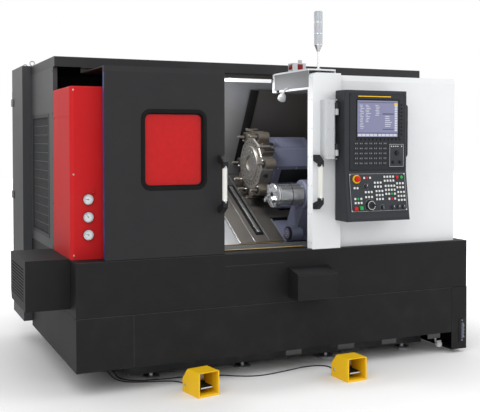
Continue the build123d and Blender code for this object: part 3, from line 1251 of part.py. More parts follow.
def pendant_case():
    """Folded pendant case, hollow, with a waist and a tilted lower front that is open for the desk."""
    outline = [
        (PENDANT_BACK, PENDANT_BOTTOM), (PENDANT_BACK, PENDANT_TOP), (PENDANT_FRONT, PENDANT_TOP),
        (PENDANT_FRONT, PENDANT_WAIST), (PENDANT_TOE, PENDANT_TOE_Z), (PENDANT_TOE + SHEET * 2,
                                                                       PENDANT_BOTTOM),
    ]
    case = prism_x(outline, (PENDANT_LEFT, PENDANT_RIGHT))
    sides = case.faces().filter_by(Plane.YZ)
    upright = [edge for edge in sides[0].edges() + sides[1].edges()
               if edge.center().Y < PENDANT_FRONT + 1 and edge.length > 2 * PENDANT_CORNER]
    case = fillet(upright, PENDANT_CORNER)
    inside = [
        (PENDANT_BACK - SHEET, PENDANT_BOTTOM + SHEET), (PENDANT_BACK - SHEET, PENDANT_TOP - SHEET),
        (PENDANT_FRONT + PENDANT_CORNER, PENDANT_TOP - SHEET),
        (PENDANT_FRONT + PENDANT_CORNER, PENDANT_WAIST - SHEET),
        (PENDANT_TOE + PENDANT_CORNER, PENDANT_TOE_Z + 2 * SHEET), (PENDANT_TOE + PENDANT_CORNER,
                                                                    PENDANT_BOTTOM + SHEET),
    ]
    case -= prism_x(inside, (PENDANT_LEFT + SHEET, PENDANT_RIGHT - SHEET))
    mouth = desk_plane() * Pos(0, 0, -DESK_POCKET / 2) * Box(
        DESK_WIDTH - 2 * DESK_RIM, DESK_HEIGHT - 2 * DESK_RIM, DESK_POCKET + 2)
    unit_pocket = block((UNIT_LEFT, UNIT_RIGHT), (PENDANT_FRONT - 1, PENDANT_FRONT + UNIT_POCKET),
                        (UNIT_BOTTOM, UNIT_TOP))
    case = case - mouth - unit_pocket
    for z in hinge_heights():
        low = z + HINGE_LUG + SLIDE_GAP
        knuckle = rod_z(HINGE_X, HINGE_Y, HINGE_BARREL, (low, low + HINGE_LUG))
        knuckle += block((HINGE_X, PENDANT_LEFT + SHEET), (HINGE_Y - HINGE_PIN, HINGE_Y + HINGE_PIN),
                         (low, low + HINGE_LUG))
        knuckle -= rod_z(HINGE_X, HINGE_Y, HINGE_PIN + FIT_GAP, (low - 1, low + HINGE_LUG + 1))
        case += knuckle
    return case + pendant_handle()


def pendant_handle():
    """Grab bar on the free side of the pendant, bent from round bar."""
    y = (PENDANT_BACK + PENDANT_FRONT) / 2
    x = PENDANT_RIGHT + PENDANT_HANDLE_REACH - PENDANT_HANDLE_RADIUS
    zs = (PENDANT_HANDLE_BOTTOM, PENDANT_HANDLE_TOP)
    route = FilletPolyline((PENDANT_RIGHT - 1, y, zs[0]), (x, y, zs[0]), (x, y, zs[1]), (PENDANT_RIGHT - 1,
                                                                                         y, zs[1]),
                           radius=2 * PENDANT_HANDLE_RADIUS)
    return sweep(Plane(route @ 0, z_dir=route % 0) * Circle(PENDANT_HANDLE_RADIUS), path=route)


def desk_plane():
    """Plane of the tilted lower face, centred on the operator panel."""
    run_y = PENDANT_TOE - PENDANT_FRONT
    run_z = PENDANT_TOE_Z - PENDANT_WAIST
    length = math.hypot(run_y, run_z)
    down = DESK_TOP_GAP + DESK_HEIGHT / 2 - FLANGE
    origin = ((PENDANT_LEFT + PENDANT_RIGHT) / 2, PENDANT_FRONT + run_y * down / length,
              PENDANT_WAIST + run_z * down / length)
    return Plane(origin, x_dir=(1, 0, 0), z_dir=(0, run_z / length, -run_y / length))


def desk_spot(place):
    """Position on the desk from fractions of its width and height, measured from the upper left."""
    return ((place[0] - 0.5) * DESK_WIDTH, (0.5 - place[1]) * DESK_HEIGHT)


def on_desk(place, radius, low, high):
    """Round piece that stands on the desk between two heights over the tilted face."""
    x, y = desk_spot(place)
    return desk_plane() * Pos(x, y, low) * extrude(Circle(radius), amount=high - low)


def key_row(left, top, columns, rows):
    """Fractions of the key centres in one block of keys."""
    return [(left + column * KEY_PITCH_X, top + row * KEY_PITCH_Y)
            for column in range(columns) for row in range(rows)]


def operator_panel():
    """Operator panel: plate with blocks of square keys, stop collar, fixed knobs and bored seats."""
    plane = desk_plane()
    plate = plane * Pos(0, 0, DESK_THICK / 2) * Box(DESK_WIDTH, DESK_HEIGHT, DESK_THICK)
    plate = fillet(plate.edges().filter_by(lambda edge: edge.length < DESK_THICK + 1), DESK_THICK)
    keys = []
    for left, top, columns, rows in KEY_BLOCKS.values():
        for place in key_row(left, top, columns, rows):
            x, y = desk_spot(place)
            keys.append(plane * Pos(x, y, DESK_THICK + DESK_KEY_HEIGHT / 2 - 0.5)
                        * Box(DESK_KEY * 1.4, DESK_KEY * 1.4, DESK_KEY_HEIGHT + 1))
    for place in POWER_AT:
        keys.append(on_desk(place, DESK_KEY, DESK_THICK - 1, DESK_THICK + BUTTON_HEIGHT))
    for place in FIXED_KNOBS:
        keys.append(on_desk(place, KNOB_RADIUS, DESK_THICK - 1, DESK_THICK + KNOB_HEIGHT))
    keys.append(on_desk(STOP_AT, STOP_COLLAR_RADIUS, DESK_THICK - 1, DESK_THICK + STOP_COLLAR_HEIGHT))
    plate = plate + keys
    top = DESK_THICK + STOP_COLLAR_HEIGHT + 1
    plate -= on_desk(STOP_AT, STOP_STEM_RADIUS + FIT_GAP, -1, top)
    for place in (WHEEL_AT, KNOB_AT, HOLD_AT, START_AT):
        plate -= on_desk(place, BUTTON_STEM + FIT_GAP, -1, top)
    return plate


def e_stop_button():
    """Mushroom head on a stem, turned in one piece."""
    seat = DESK_THICK + STOP_COLLAR_HEIGHT
    x, y = desk_spot(STOP_AT)
    outline = [
        (0, -16), (STOP_STEM_RADIUS, -16), (STOP_STEM_RADIUS, seat + STOP_TRAVEL + SLIDE_GAP),
        (STOP_HEAD_RADIUS, seat + STOP_TRAVEL + SLIDE_GAP), (STOP_HEAD_RADIUS, seat + STOP_TRAVEL + 10),
        (STOP_HEAD_RADIUS - 5, seat + STOP_TRAVEL + 16), (0, seat + STOP_TRAVEL + 18),
    ]
    face = Plane.XZ * make_face(Polyline(*outline, close=True))
    return desk_plane() * Pos(x, y, 0) * revolve(face, Axis.Z)


def handwheel():
    """Pulse generator wheel with a finger knob and a ring of grip grooves."""
    x, y = desk_spot(WHEEL_AT)
    low = DESK_THICK + SLIDE_GAP
    wheel = Pos(0, 0, low) * extrude(Circle(WHEEL_RADIUS), amount=WHEEL_HEIGHT)
    wheel = chamfer(wheel.edges().group_by(Axis.Z)[-1], WHEEL_HEIGHT / 5)
    groove = Pos(WHEEL_RADIUS + 1, 0, low) * extrude(Circle(WHEEL_GROOVE), amount=WHEEL_HEIGHT + 1)
    wheel -= [Rot(0, 0, turn * 360 / WHEEL_GROOVES) * groove for turn in range(WHEEL_GROOVES)]
    knob = Pos(WHEEL_RADIUS * 0.6, 0, low + WHEEL_HEIGHT - 1) * extrude(Circle(6), amount=20)
    stem = Pos(0, 0, -12) * extrude(Circle(BUTTON_STEM), amount=low + 13)
    return desk_plane() * Pos(x, y, 0) * (wheel + chamfer(knob.edges().group_by(Axis.Z)[-1], 2) + stem)


def override_knob():
    """Turned override knob with a pointer rib and a stem."""
    x, y = desk_spot(KNOB_AT)
    low = DESK_THICK + SLIDE_GAP
    knob = Pos(0, 0, low) * extrude(Circle(KNOB_RADIUS), amount=KNOB_HEIGHT)
    knob = chamfer(knob.edges().group_by(Axis.Z)[-1], 3)
    knob += Pos(0, 0, low + KNOB_HEIGHT) * Box(4, KNOB_RADIUS * 1.5, 4)
    stem = Pos(0, 0, -12) * extrude(Circle(BUTTON_STEM), amount=low + 13)
    return desk_plane() * Pos(x, y, 0) * (knob + stem)


def push_button(place):
    """Square push button with rounded corners on a round stem."""
    x, y = desk_spot(place)
    low = DESK_THICK + BUTTON_TRAVEL + SLIDE_GAP
    cap = Pos(0, 0, low) * extrude(RectangleRounded(BUTTON_SIZE, BUTTON_SIZE, 4), amount=BUTTON_HEIGHT)
    cap = chamfer(cap.edges().group_by(Axis.Z)[-1], 1.5)
    stem = Pos(0, 0, -12) * extrude(Circle(BUTTON_STEM), amount=low + 13)
    return desk_plane() * Pos(x, y, 0) * (cap + stem)


def display_unit():
    """Display plate seated in the case, with a recessed screen and a field of raised keys."""
    ys = (PENDANT_FRONT - UNIT_PROUD, PENDANT_FRONT + UNIT_POCKET)
    plate = block((UNIT_LEFT, UNIT_RIGHT), ys, (UNIT_BOTTOM, UNIT_TOP))
    plate = chamfer(plate.faces().sort_by(Axis.Y)[0].edges(), 2)
    plate -= block((SCREEN_LEFT, SCREEN_RIGHT), (ys[0] - 1, ys[0] + SCREEN_RECESS), (SCREEN_BOTTOM,
                                                                                     SCREEN_TOP))
    pitch_x = (UNIT_RIGHT - UNIT_LEFT - 2 * FLANGE) / KEYBOARD_COLUMNS
    pitch_z = (SCREEN_BOTTOM - UNIT_BOTTOM - 2 * FLANGE) / KEYBOARD_ROWS
    keys = []
    for column in range(KEYBOARD_COLUMNS):
        for row in range(KEYBOARD_ROWS):
            x = UNIT_LEFT + FLANGE + (column + 0.5) * pitch_x
            z = UNIT_BOTTOM + FLANGE + (row + 0.5) * pitch_z
            keys.append(block((x - pitch_x * 0.36, x + pitch_x * 0.36), (ys[0] - KEY_HEIGHT, ys[0] + 0.5),
                              (z - pitch_z * 0.36, z + pitch_z * 0.36)))
    return plate + keys


# Electrical cabinet

def cabinet_shell():
    """Electrical cabinet open at the back, with a door frame flange and hinge straps."""
    xs = (CABINET_LEFT, CABINET_LEFT + CABINET_WIDTH)
    ys = (BODY_DEPTH, CABINET_BACK)
    zs = (CABINET_BOTTOM, CABINET_TOP)
    shell = block(xs, ys, zs)
    shell -= block((xs[0] + SHEET, xs[1] - SHEET), (ys[0] + SHEET, ys[1] - SHEET), (zs[0] + SHEET,
                                                                                    zs[1] - SHEET))
    shell -= block((xs[0] + FLANGE, xs[1] - FLANGE), (ys[1] - SHEET - 1, ys[1] + 1), (zs[0] + FLANGE,
                                                                                      zs[1] - FLANGE))
    x, y = cabinet_hinge()
    for z in cabinet_hinge_heights():
        strap = block((xs[0] - 6, xs[0] - 1), (ys[1] - 2 * FLANGE, y + 5), (z, z + CABINET_LUG))
        strap += block((xs[0] - 6, xs[0] + 1), (ys[1] - 2 * FLANGE, ys[1] - FLANGE), (z, z + CABINET_LUG))
        strap += block((xs[0] - 6, x), (y - 5, y + 5), (z, z + CABINET_LUG))
        strap += rod_z(x, y, CABINET_BARREL, (z, z + CABINET_LUG))
        strap += rod_z(x, y, CABINET_PIN, (z + CABINET_LUG - 1, z + 2 * CABINET_LUG - 8))
        shell += strap
    return shell


def cabinet_hinge():
    """X and Y of the cabinet door hinge."""
    return (CABINET_LEFT + CABINET_HINGE_INSET, CABINET_HINGE_BACK)


def cabinet_hinge_heights():
    """Bottom of each of the three cabinet hinges."""
    span = CABINET_TOP - CABINET_BOTTOM - 8 * CABINET_LUG
    return [CABINET_BOTTOM + 3 * CABINET_LUG + index * span / 2 for index in range(3)]


def cabinet_door():
    """Folded cabinet door with a recessed latch, a vent field and hinge barrels."""
    xs = (CABINET_LEFT, CABINET_LEFT + CABINET_WIDTH)
    ys = (CABINET_BACK + CABINET_DOOR_GAP, CABINET_BACK + CABINET_DOOR_GAP + CABINET_DOOR_THICK)
    zs = (CABINET_BOTTOM, CABINET_TOP)
    door = block(xs, ys, zs)
    door = fillet(door.edges().filter_by(Axis.Z).group_by(Axis.Y)[-1], SHEET)
    door -= block((xs[0] + SHEET, xs[1] - SHEET), (ys[0] - 1, ys[1] - SHEET), (zs[0] + SHEET, zs[1] - SHEET))
    for row in range(COOLANT_SLOTS):
        z = CABINET_BOTTOM + 4 * FLANGE + row * FLANGE
        door -= block((xs[0] + CABINET_WIDTH / 3, xs[1] - CABINET_WIDTH / 3), (ys[1] - SHEET - 1, ys[1] + 1),
                      (z, z + GRILLE_SLOT_HEIGHT))
    latch_z = (CABINET_BOTTOM + CABINET_TOP) / 2
    latch = rounded_slab(xs[1] - 2 * FLANGE, latch_z, FLANGE, 5 * FLANGE, FLANGE / 3, (ys[1],
                                                                                       ys[1] + FLANGE / 2))
    door += fillet(latch.faces().sort_by(Axis.Y)[-1].edges(), FLANGE / 10)
    x, y = cabinet_hinge()
    for z in cabinet_hinge_heights():
        low = z + CABINET_LUG + SLIDE_GAP
        barrel = rod_z(x, y, CABINET_BARREL, (low, low + CABINET_LUG))
        barrel += block((x - 5, x + 5), (ys[1] - 1, y), (low, low + CABINET_LUG))
        door += barrel - rod_z(x, y, CABINET_PIN + FIT_GAP, (low - 1, low + CABINET_LUG + 1))
    return door


def drive_rack():
    """Mounting plate with rows of drive modules of different depth inside the cabinet."""
    xs = (CABINET_LEFT + 2 * FLANGE, CABINET_LEFT + CABINET_WIDTH - 2 * FLANGE)
    front = BODY_DEPTH + SHEET
    zs = (CABINET_BOTTOM + 3 * FLANGE, CABINET_TOP - 3 * FLANGE)
    rack = block(xs, (front, front + RACK_SET_BACK), (zs[0], zs[0] + FLANGE))
    rack += block(xs, (front, front + RACK_SET_BACK), (zs[1] - FLANGE, zs[1]))
    rack += block(xs, (front + RACK_SET_BACK, front + RACK_SET_BACK + RACK_THICK), zs)
    plate = front + RACK_SET_BACK + RACK_THICK
    row_pitch = (zs[1] - zs[0] - 2 * FLANGE) / len(MODULES_IN_ROW)
    modules = []
    for row, count in enumerate(MODULES_IN_ROW):
        bottom = zs[0] + 2 * FLANGE + row * row_pitch
        depth = RACK_MODULE_DEPTH - (row % 2) * 2 * FLANGE
        pitch = (xs[1] - xs[0] - FLANGE) / count
        for index in range(count):
            left = xs[0] + FLANGE + index * pitch
            modules.append(block((left, left + pitch - FLANGE), (plate - 1,
                                                                 plate + depth - 2 * SHEET * (index % 2)),
                                 (bottom, bottom + row_pitch - 5 * FLANGE)))
        if row:
            modules.append(block(xs, (plate - 1, plate + 2 * FLANGE), (bottom - 3.5 * FLANGE,
                                                                       bottom - 2 * FLANGE)))
    return rack + modules


# Foot pedals and their cables

def at_pedal(piece, place):
    """Move a piece drawn at the pedal corner to its place on the floor."""
    return Pos(place[0], place[1], 0) * (Rot(0, 0, place[2]) * piece)


def pedal_guard(place):
    """Pedal guard: a hood with rounded top edges, open all over the front, bored for the pin."""
    crown, shoulder = PEDAL_DEPTH * PEDAL_CROWN, PEDAL_HEIGHT * PEDAL_SHOULDER
    outline = [(0, 0), (0, PEDAL_HEIGHT), (crown, PEDAL_HEIGHT), (PEDAL_DEPTH, shoulder), (PEDAL_DEPTH, 0)]
    guard = prism_x(outline, (0, PEDAL_WIDTH))
    top_edges = guard.edges().filter_by(Axis.Y).group_by(Axis.Z)[-1]
    guard = fillet(top_edges, PEDAL_ROUNDING)
    roof = PEDAL_HEIGHT - PEDAL_WALL
    inner = [(-1, PEDAL_BASE), (-1, roof), (crown - PEDAL_WALL, roof),
             (PEDAL_DEPTH - PEDAL_WALL * 2, shoulder - PEDAL_WALL), (PEDAL_DEPTH - PEDAL_WALL * 2,
                                                                     PEDAL_BASE)]
    guard -= prism_x(inner, (PEDAL_WALL * 2, PEDAL_WIDTH - PEDAL_WALL * 2))
    guard -= rod_x(TREADLE_PIVOT_Y, TREADLE_PIVOT_Z, TREADLE_PIN + FIT_GAP, (PEDAL_WALL,
                                                                             PEDAL_WIDTH - PEDAL_WALL))
    stub = rod_y(PEDAL_WIDTH / 2, CABLE_Z, CABLE_RADIUS + 2, (PEDAL_DEPTH - 1, PEDAL_DEPTH + PEDAL_STUB))
    return at_pedal(guard + stub, place)


def treadle(place):
    """Ribbed treadle on its pivot pin."""
    left = (PEDAL_WIDTH - TREADLE_WIDTH) / 2
    xs = (left, left + TREADLE_WIDTH)
    plate = block(xs, (TREADLE_PIVOT_Y - TREADLE_LENGTH, TREADLE_PIVOT_Y),
                  (TREADLE_PIVOT_Z - TREADLE_THICK / 2, TREADLE_PIVOT_Z + TREADLE_THICK / 2))
    plate = fillet(plate.edges().filter_by(Axis.Z).group_by(Axis.Y)[0], 10)
    for index in range(7):
        y = TREADLE_PIVOT_Y - TREADLE_LENGTH + 14 + index * 14
        plate += block((xs[0] + 8, xs[1] - 8), (y, y + 4), (TREADLE_PIVOT_Z + TREADLE_THICK / 2 - 1,
                                                           TREADLE_PIVOT_Z + TREADLE_THICK / 2 + 2))
    plate += rod_x(TREADLE_PIVOT_Y, TREADLE_PIVOT_Z, TREADLE_PIN * 1.8, xs)
    plate += rod_x(TREADLE_PIVOT_Y, TREADLE_PIVOT_Z, TREADLE_PIN, (PEDAL_WALL + 1,
                                                                   PEDAL_WIDTH - PEDAL_WALL - 1))
    return at_pedal(plate, place)


def cable_glands():
    """Entry block on the end of the bed with one gland for each pedal cable."""
    xs = (GLAND_X[0] - FLANGE, BED_LEFT)
    entry = block(xs, (GLAND_Y, GLAND_Y + GLAND_BLOCK_DEPTH), (SHEET * 2, GLAND_BLOCK_HEIGHT + SHEET * 2))
    entry = fillet(entry.edges().filter_by(Axis.Z).group_by(Axis.X)[0], SHEET * 2)
    for x in GLAND_X:
        entry += rod_y(x, CABLE_RISE, GLAND_RADIUS, (GLAND_Y - GLAND_LENGTH, GLAND_Y + 1))
    return entry


def pedal_exit(place, lead=0.0):
    """Point on the line along which the cable leaves the pedal."""
    turn = math.radians(place[2])
    x, y = PEDAL_WIDTH / 2, PEDAL_DEPTH + PEDAL_STUB + lead
    return (place[0] + x * math.cos(turn) - y * math.sin(turn),
            place[1] + x * math.sin(turn) + y * math.cos(turn),
            CABLE_Z)


def cable_points(place, route, gland_x):
    """Corner points of a cable from the pedal to its gland."""
    mouth = GLAND_Y - GLAND_LENGTH
    return [pedal_exit(place), pedal_exit(place, CABLE_LEAD), *route,
            (gland_x, mouth - CABLE_LEAD, CABLE_RISE), (gland_x, mouth, CABLE_RISE)]


def corner_radii(points):
    """Bend radius at each corner, from the shorter run and the turn there."""
    radii = []
    for before, here, after in zip(points, points[1:], points[2:]):
        first = Vector(*here) - Vector(*before)
        second = Vector(*after) - Vector(*here)
        half = math.radians(first.get_angle(second)) / 2
        radii.append(0.45 * min(first.length, second.length) / math.tan(half))
    return radii


def cable(points):
    """Round cable swept along straight runs joined by tangent arcs."""
    radii = corner_radii(points)
    path = FilletPolyline(*points, radius=radii)
    print("cable bend radii:", [round(radius, 1) for radius in radii])
    tube = sweep(Plane(path @ 0, z_dir=path % 0) * Circle(CABLE_RADIUS), path=path)
    length = sum(edge.length for edge in path.edges())
    print("cable length:", round(length, 1), "volume over section times length:",
          round(tube.volume / (math.pi * CABLE_RADIUS ** 2 * length), 5))
    return tube


CORDS = ("pedal_cable_left", "pedal_cable_right")


def build_nodes():
    """Every node by name, in the drawing frame."""
    return {
        "bed_casting": bed_casting(),
        "levelling_feet": levelling_feet(),
        "base_upper_cover": base_upper_cover(),
        "base_lower_cover": base_lower_cover(),
        "base_end_block": base_end_block(),
        "coolant_box": coolant_box(),
        "side_panel": side_panel(),
        "red_cover": red_cover(),
        "pressure_gauges": pressure_gauges(),
        "front_left_wall": front_left_wall(),
        "right_enclosure": right_enclosure(),
        "right_post": right_post(),
        "post_handle_brackets": handle_brackets(POST_HANDLE_X),
        "post_handle_grip": handle_grip(POST_HANDLE_X),
        "rear_wall": rear_wall(),
        "roof": roof(),
        "door_tracks": door_tracks(),
        "interlock_switch": interlock_switch(),
        "work_light": work_light(),
        "tower_pole": tower_pole(),
        "signal_lamp": signal_lamp(),
        "front_hood": front_hood(),
        "pendant_arm": pendant_arm(),
        "headstock": headstock(),
        "fixed_way_covers": fixed_way_covers(),
        "chip_tray": chip_tray(),
        "spindle_motor": spindle_motor(),
        "cabinet_shell": cabinet_shell(),
        "drive_rack": drive_rack(),
        "cable_glands": cable_glands(),
        "pedal_guards": as_group([pedal_guard(PEDAL_LEFT_AT), pedal_guard(PEDAL_RIGHT_AT)]),
        "pedal_cable_left": cable(cable_points(PEDAL_LEFT_AT, CABLE_LEFT_ROUTE, GLAND_X[0])),
        "pedal_cable_right": cable(cable_points(PEDAL_RIGHT_AT, CABLE_RIGHT_ROUTE, GLAND_X[1])),
        "left_door": left_door(),
        "window_frame": window_frame(),
        "window_glass": window_glass(),
        "door_handle_brackets": handle_brackets(DOOR_HANDLE_X),
        "door_handle_grip": handle_grip(DOOR_HANDLE_X),
        "spindle": spindle(),
        "main_chuck": main_chuck(),
        "chuck_jaws": chuck_jaws(),
        "saddle": saddle(),
        "moving_way_cover": moving_way_cover(),
        "cross_slide": cross_slide(),
        "turret_housing": turret_housing(),
        "turret_disc": turret_disc(),
        "tool_holders": tool_holders(),
        "tailstock": tailstock(),
        "tail_chuck": tail_chuck(),
        "pendant_case": pendant_case(),
        "display_unit": display_unit(),
        "operator_panel": operator_panel(),
        "e_stop_button": e_stop_button(),
        "handwheel": handwheel(),
        "cycle_start_button": push_button(START_AT),
        "feed_hold_button": push_button(HOLD_AT),
        "override_knob": override_knob(),
        "cabinet_door": cabinet_door(),
        "treadle_left": treadle(PEDAL_LEFT_AT),
        "treadle_right": treadle(PEDAL_RIGHT_AT),
    }


def origin_shift(nodes):
    """Shift that brings the middle of the footprint to the origin, cords left out."""
    boxes = [shape.bounding_box() for name, shape in nodes.items() if name not in CORDS]
    low_x, high_x = min(box.min.X for box in boxes), max(box.max.X for box in boxes)
    low_y, high_y = min(box.min.Y for box in boxes), max(box.max.Y for box in boxes)
    return (-(low_x + high_x) / 2, -(low_y + high_y) / 2, 0.0)


def main():
    """Build every node and write one file for each."""
    os.makedirs("parts", exist_ok=True)
    nodes = build_nodes()
    shift = origin_shift(nodes)
    print("shift of the drawing frame:", shift)
    for name, shape in nodes.items():
        export_step(Pos(*shift) * shape, f"parts/{name}.step")


if __name__ == "__main__":
    main()
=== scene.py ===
"""Looks of the slant-bed turning lathe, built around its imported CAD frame."""

import logging
import math
import random
from collections.abc import Callable, Iterable, Iterator, Sequence
from contextlib import AbstractContextManager, contextmanager
from dataclasses import dataclass, field
from enum import Enum
from functools import partial
from typing import ClassVar

import bmesh
import bpy
from mathutils import Matrix, Vector


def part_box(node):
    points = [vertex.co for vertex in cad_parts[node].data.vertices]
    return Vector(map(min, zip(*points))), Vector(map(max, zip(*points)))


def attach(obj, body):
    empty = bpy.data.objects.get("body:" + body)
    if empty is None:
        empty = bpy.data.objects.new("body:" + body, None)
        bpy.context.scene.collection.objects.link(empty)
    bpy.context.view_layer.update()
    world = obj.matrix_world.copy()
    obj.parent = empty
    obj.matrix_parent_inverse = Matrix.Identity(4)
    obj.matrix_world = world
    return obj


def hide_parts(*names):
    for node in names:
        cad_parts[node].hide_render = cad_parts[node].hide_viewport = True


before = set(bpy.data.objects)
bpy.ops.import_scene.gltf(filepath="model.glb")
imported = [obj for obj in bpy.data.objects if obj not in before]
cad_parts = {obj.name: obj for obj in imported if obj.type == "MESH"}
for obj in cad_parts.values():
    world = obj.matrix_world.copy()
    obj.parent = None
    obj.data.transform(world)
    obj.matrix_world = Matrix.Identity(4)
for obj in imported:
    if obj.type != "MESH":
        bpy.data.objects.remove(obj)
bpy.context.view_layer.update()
LOG = logging.getLogger("lathe")
MM = 0.001
LEFT, RIGHT, FRONT, BACK, UP = (-1, 0, 0), (1, 0, 0), (0, -1, 0), (0, 1, 0), (0, 0, 1)
SPINDLE = (450, 1208)
TURRET = (846.63, 1437)
SLANT = math.radians(30)
SHARP = math.radians(35)

Point = Sequence[float]
Pair = tuple[float, float]
Spot = tuple[float, float, float]
Vertices = list[bmesh.types.BMVert]
Tree = bpy.types.NodeTree
Socket = bpy.types.NodeSocket


class Surface(Enum):
    """How a finish is built."""

    ENAMEL = "enamel"
    BRUSHED = "brushed"
    TURNED = "turned"
    CAST = "cast"
    MOULDED = "moulded"
    RUBBER = "rubber"
    GLASS = "glass"
    LAMP = "lamp"
    LIT = "lit"


@dataclass(frozen=True)
class Finish:
    """One finish: its screen colour and how rough, fine, bumpy and dirty it is."""

    name: str
    surface: Surface
    screen: tuple[int, int, int]
    roughness: float
    grain: float
    bump: float
    grime: float
    slot: str

    @property
    def colour(self) -> Spot:
        """Linear values of red, green and blue."""
        parts = [value / 255 for value in self.screen]
        return tuple(p / 12.92 if p < 0.04045 else ((p + 0.055) / 1.055) ** 2.4 for p in parts)

    def shade(self, level: float) -> tuple[float, float, float, float]:
        """The colour made darker.

        Args:
            level: Part of its brightness that stays.
        Returns:
            Linear red, green, blue and alpha.
        """
        return (*(level * value for value in self.colour), 1.0)


CHARCOAL = Finish("charcoal enamel", Surface.ENAMEL, (23, 23, 25), 0.6, 420, 0.08, 0.05, "charcoal_enamel")
DOOR_GREY = Finish("door grey enamel", Surface.ENAMEL, (38, 38, 40), 0.5, 420, 0.06, 0.05,
                   "door_grey_enamel")
PANEL_GREY = Finish("panel grey enamel", Surface.ENAMEL, (64, 65, 67), 0.5, 420, 0.08, 0.15,
                    "panel_grey_enamel")
LIGHT_GREY = Finish("light grey enamel", Surface.ENAMEL, (188, 190, 192), 0.42, 420, 0.06, 0.1,
                    "light_grey_enamel")
DARK_ROOF = Finish("roof enamel", Surface.ENAMEL, (44, 44, 46), 0.5, 420, 0.06, 0.1, "light_grey_enamel")
RED = Finish("red enamel", Surface.ENAMEL, (192, 22, 26), 0.6, 420, 0.05, 0.1, "red_enamel")
WHITE = Finish("white enamel", Surface.ENAMEL, (228, 230, 232), 0.38, 420, 0.05, 0.08, "white_enamel")
YELLOW = Finish("yellow enamel", Surface.ENAMEL, (244, 194, 24), 0.5, 300, 0.08, 0.08, "yellow_enamel")
SLATE = Finish("slate enamel", Surface.ENAMEL, (98, 101, 120), 0.42, 350, 0.1, 0.2, "slate_enamel")
CASTING = Finish("painted casting", Surface.CAST, (58, 60, 63), 0.6, 90, 0.35, 0.4, "cast_bed")
GROUND = Finish("ground steel", Surface.TURNED, (160, 156, 150), 0.42, 900, 0.03, 0.1, "ground_steel")
SHEET = Finish("brushed sheet", Surface.BRUSHED, (176, 177, 180), 0.46, 240, 0.04, 0.06, "stainless_cover")
BRIGHT = Finish("bright steel", Surface.BRUSHED, (205, 206, 208), 0.22, 500, 0.02, 0.05, "bright_steel")
ZINC = Finish("zinc plate", Surface.BRUSHED, (178, 181, 184), 0.38, 300, 0.04, 0.15, "zinc_plate")
BRASS = Finish("worn brass strip", Surface.ENAMEL, (204, 172, 100), 0.45, 260, 0.04, 0.3, "sill_brass")
BLACK = Finish("black plastic", Surface.MOULDED, (30, 31, 33), 0.5, 700, 0.12, 0.08, "black_plastic")
GRIP = Finish("pale grip plastic", Surface.MOULDED, (226, 226, 220), 0.45, 600, 0.08, 0.1, "white_plastic")
CONSOLE = Finish("console enamel", Surface.ENAMEL, (48, 50, 54), 0.5, 420, 0.06, 0.08, "white_enamel")
DISPLAY = Finish("display plate", Surface.MOULDED, (38, 40, 44), 0.3, 500, 0.03, 0.03, "dark_display")
DESK = Finish("desk film", Surface.MOULDED, (52, 55, 60), 0.5, 800, 0.08, 0.05, "desk_plate")
KEY_PALE = Finish("pale key", Surface.MOULDED, (214, 216, 214), 0.45, 600, 0.05, 0.05, "white_plastic")
STOP_RED = Finish("stop red", Surface.MOULDED, (200, 24, 26), 0.28, 400, 0.02, 0.02, "button_red")
GO_GREEN = Finish("start green", Surface.MOULDED, (30, 160, 76), 0.3, 400, 0.02, 0.02, "button_green")
RUBBER = Finish("cable rubber", Surface.RUBBER, (30, 30, 32), 0.65, 500, 0.1, 0.2, "cable_rubber")
GASKET = Finish("seal rubber", Surface.RUBBER, (8, 8, 9), 0.75, 400, 0.12, 0.1, "cable_rubber")
PANE = Finish("tinted pane", Surface.GLASS, (214, 14, 18), 0.2, 30, 0, 0, "window_pane")
LENS = Finish("lamp lens", Surface.LAMP, (186, 190, 196), 0.2, 60, 0.05, 0, "lens")
EDGE_BLUE = Finish("edge film", Surface.MOULDED, (50, 60, 112), 0.35, 500, 0.03, 0.05, "black_plastic")
PLUG_RED = Finish("switch red", Surface.MOULDED, (120, 22, 26), 0.35, 500, 0.03, 0.05, "button_red")
KEY_DARK = Finish("dark key", Surface.MOULDED, (58, 60, 64), 0.5, 600, 0.05, 0.05, "black_plastic")
SCREEN_GROUND = Finish("screen ground", Surface.LIT, (128, 130, 164), 0.3, 40, 0, 0, "dark_display")
SCREEN_LIGHT = Finish("screen rows", Surface.LIT, (206, 208, 222), 0.3, 40, 0, 0, "dark_display")
SCREEN_DARK = Finish("screen rules", Surface.LIT, (56, 58, 84), 0.3, 40, 0, 0, "dark_display")
SCREEN_SIGN = Finish("screen sign", Surface.LIT, (226, 196, 60), 0.3, 40, 0, 0, "dark_display")
LAMP_STRIP = Finish("lamp strip", Surface.LIT, (246, 248, 250), 0.3, 40, 0, 0, "lens")
TOOL_STEEL = Finish("oiled tool steel", Surface.TURNED, (128, 120, 110), 0.5, 700, 0.05, 0.12,
                    "ground_steel")
DARK_SHEET = Finish("oiled sheet", Surface.BRUSHED, (112, 108, 104), 0.5, 240, 0.05, 0.2, "stainless_cover")
# Mid grey for the inner face and underside of the white header: painted shade.
HEADER_SHADE_GREY = Finish("header painted shade", Surface.ENAMEL, (128, 129, 131), 0.5, 420, 0.05, 0.08,
                     "light_grey_enamel")
TRACK = Finish("dark rail", Surface.BRUSHED, (62, 60, 58), 0.5, 260, 0.04, 0.3, "sill_brass")
# Near black for the insides of openings: painted shade.
HOLLOW_SHADE = Finish("unlit hollow", Surface.MOULDED, (12, 12, 13), 0.9, 200, 0, 0, "charcoal_enamel")

DUST = Finish("dust", Surface.ENAMEL, (118, 112, 102), 0.8, 300, 0.0, 0.0, "")


# Shader groups and materials

def feed(tree: Tree, node: bpy.types.Node, values: dict[str | int, object]) -> None:
    """Link or set inputs of a node.

    Args:
        tree: The tree that holds the node.
        node: The node.
        values: Sockets to link and values to set, by the input's name or number.
    """
    for key, value in values.items():
        if isinstance(value, Socket):
            tree.links.new(value, node.inputs[key])
        else:
            node.inputs[key].default_value = value


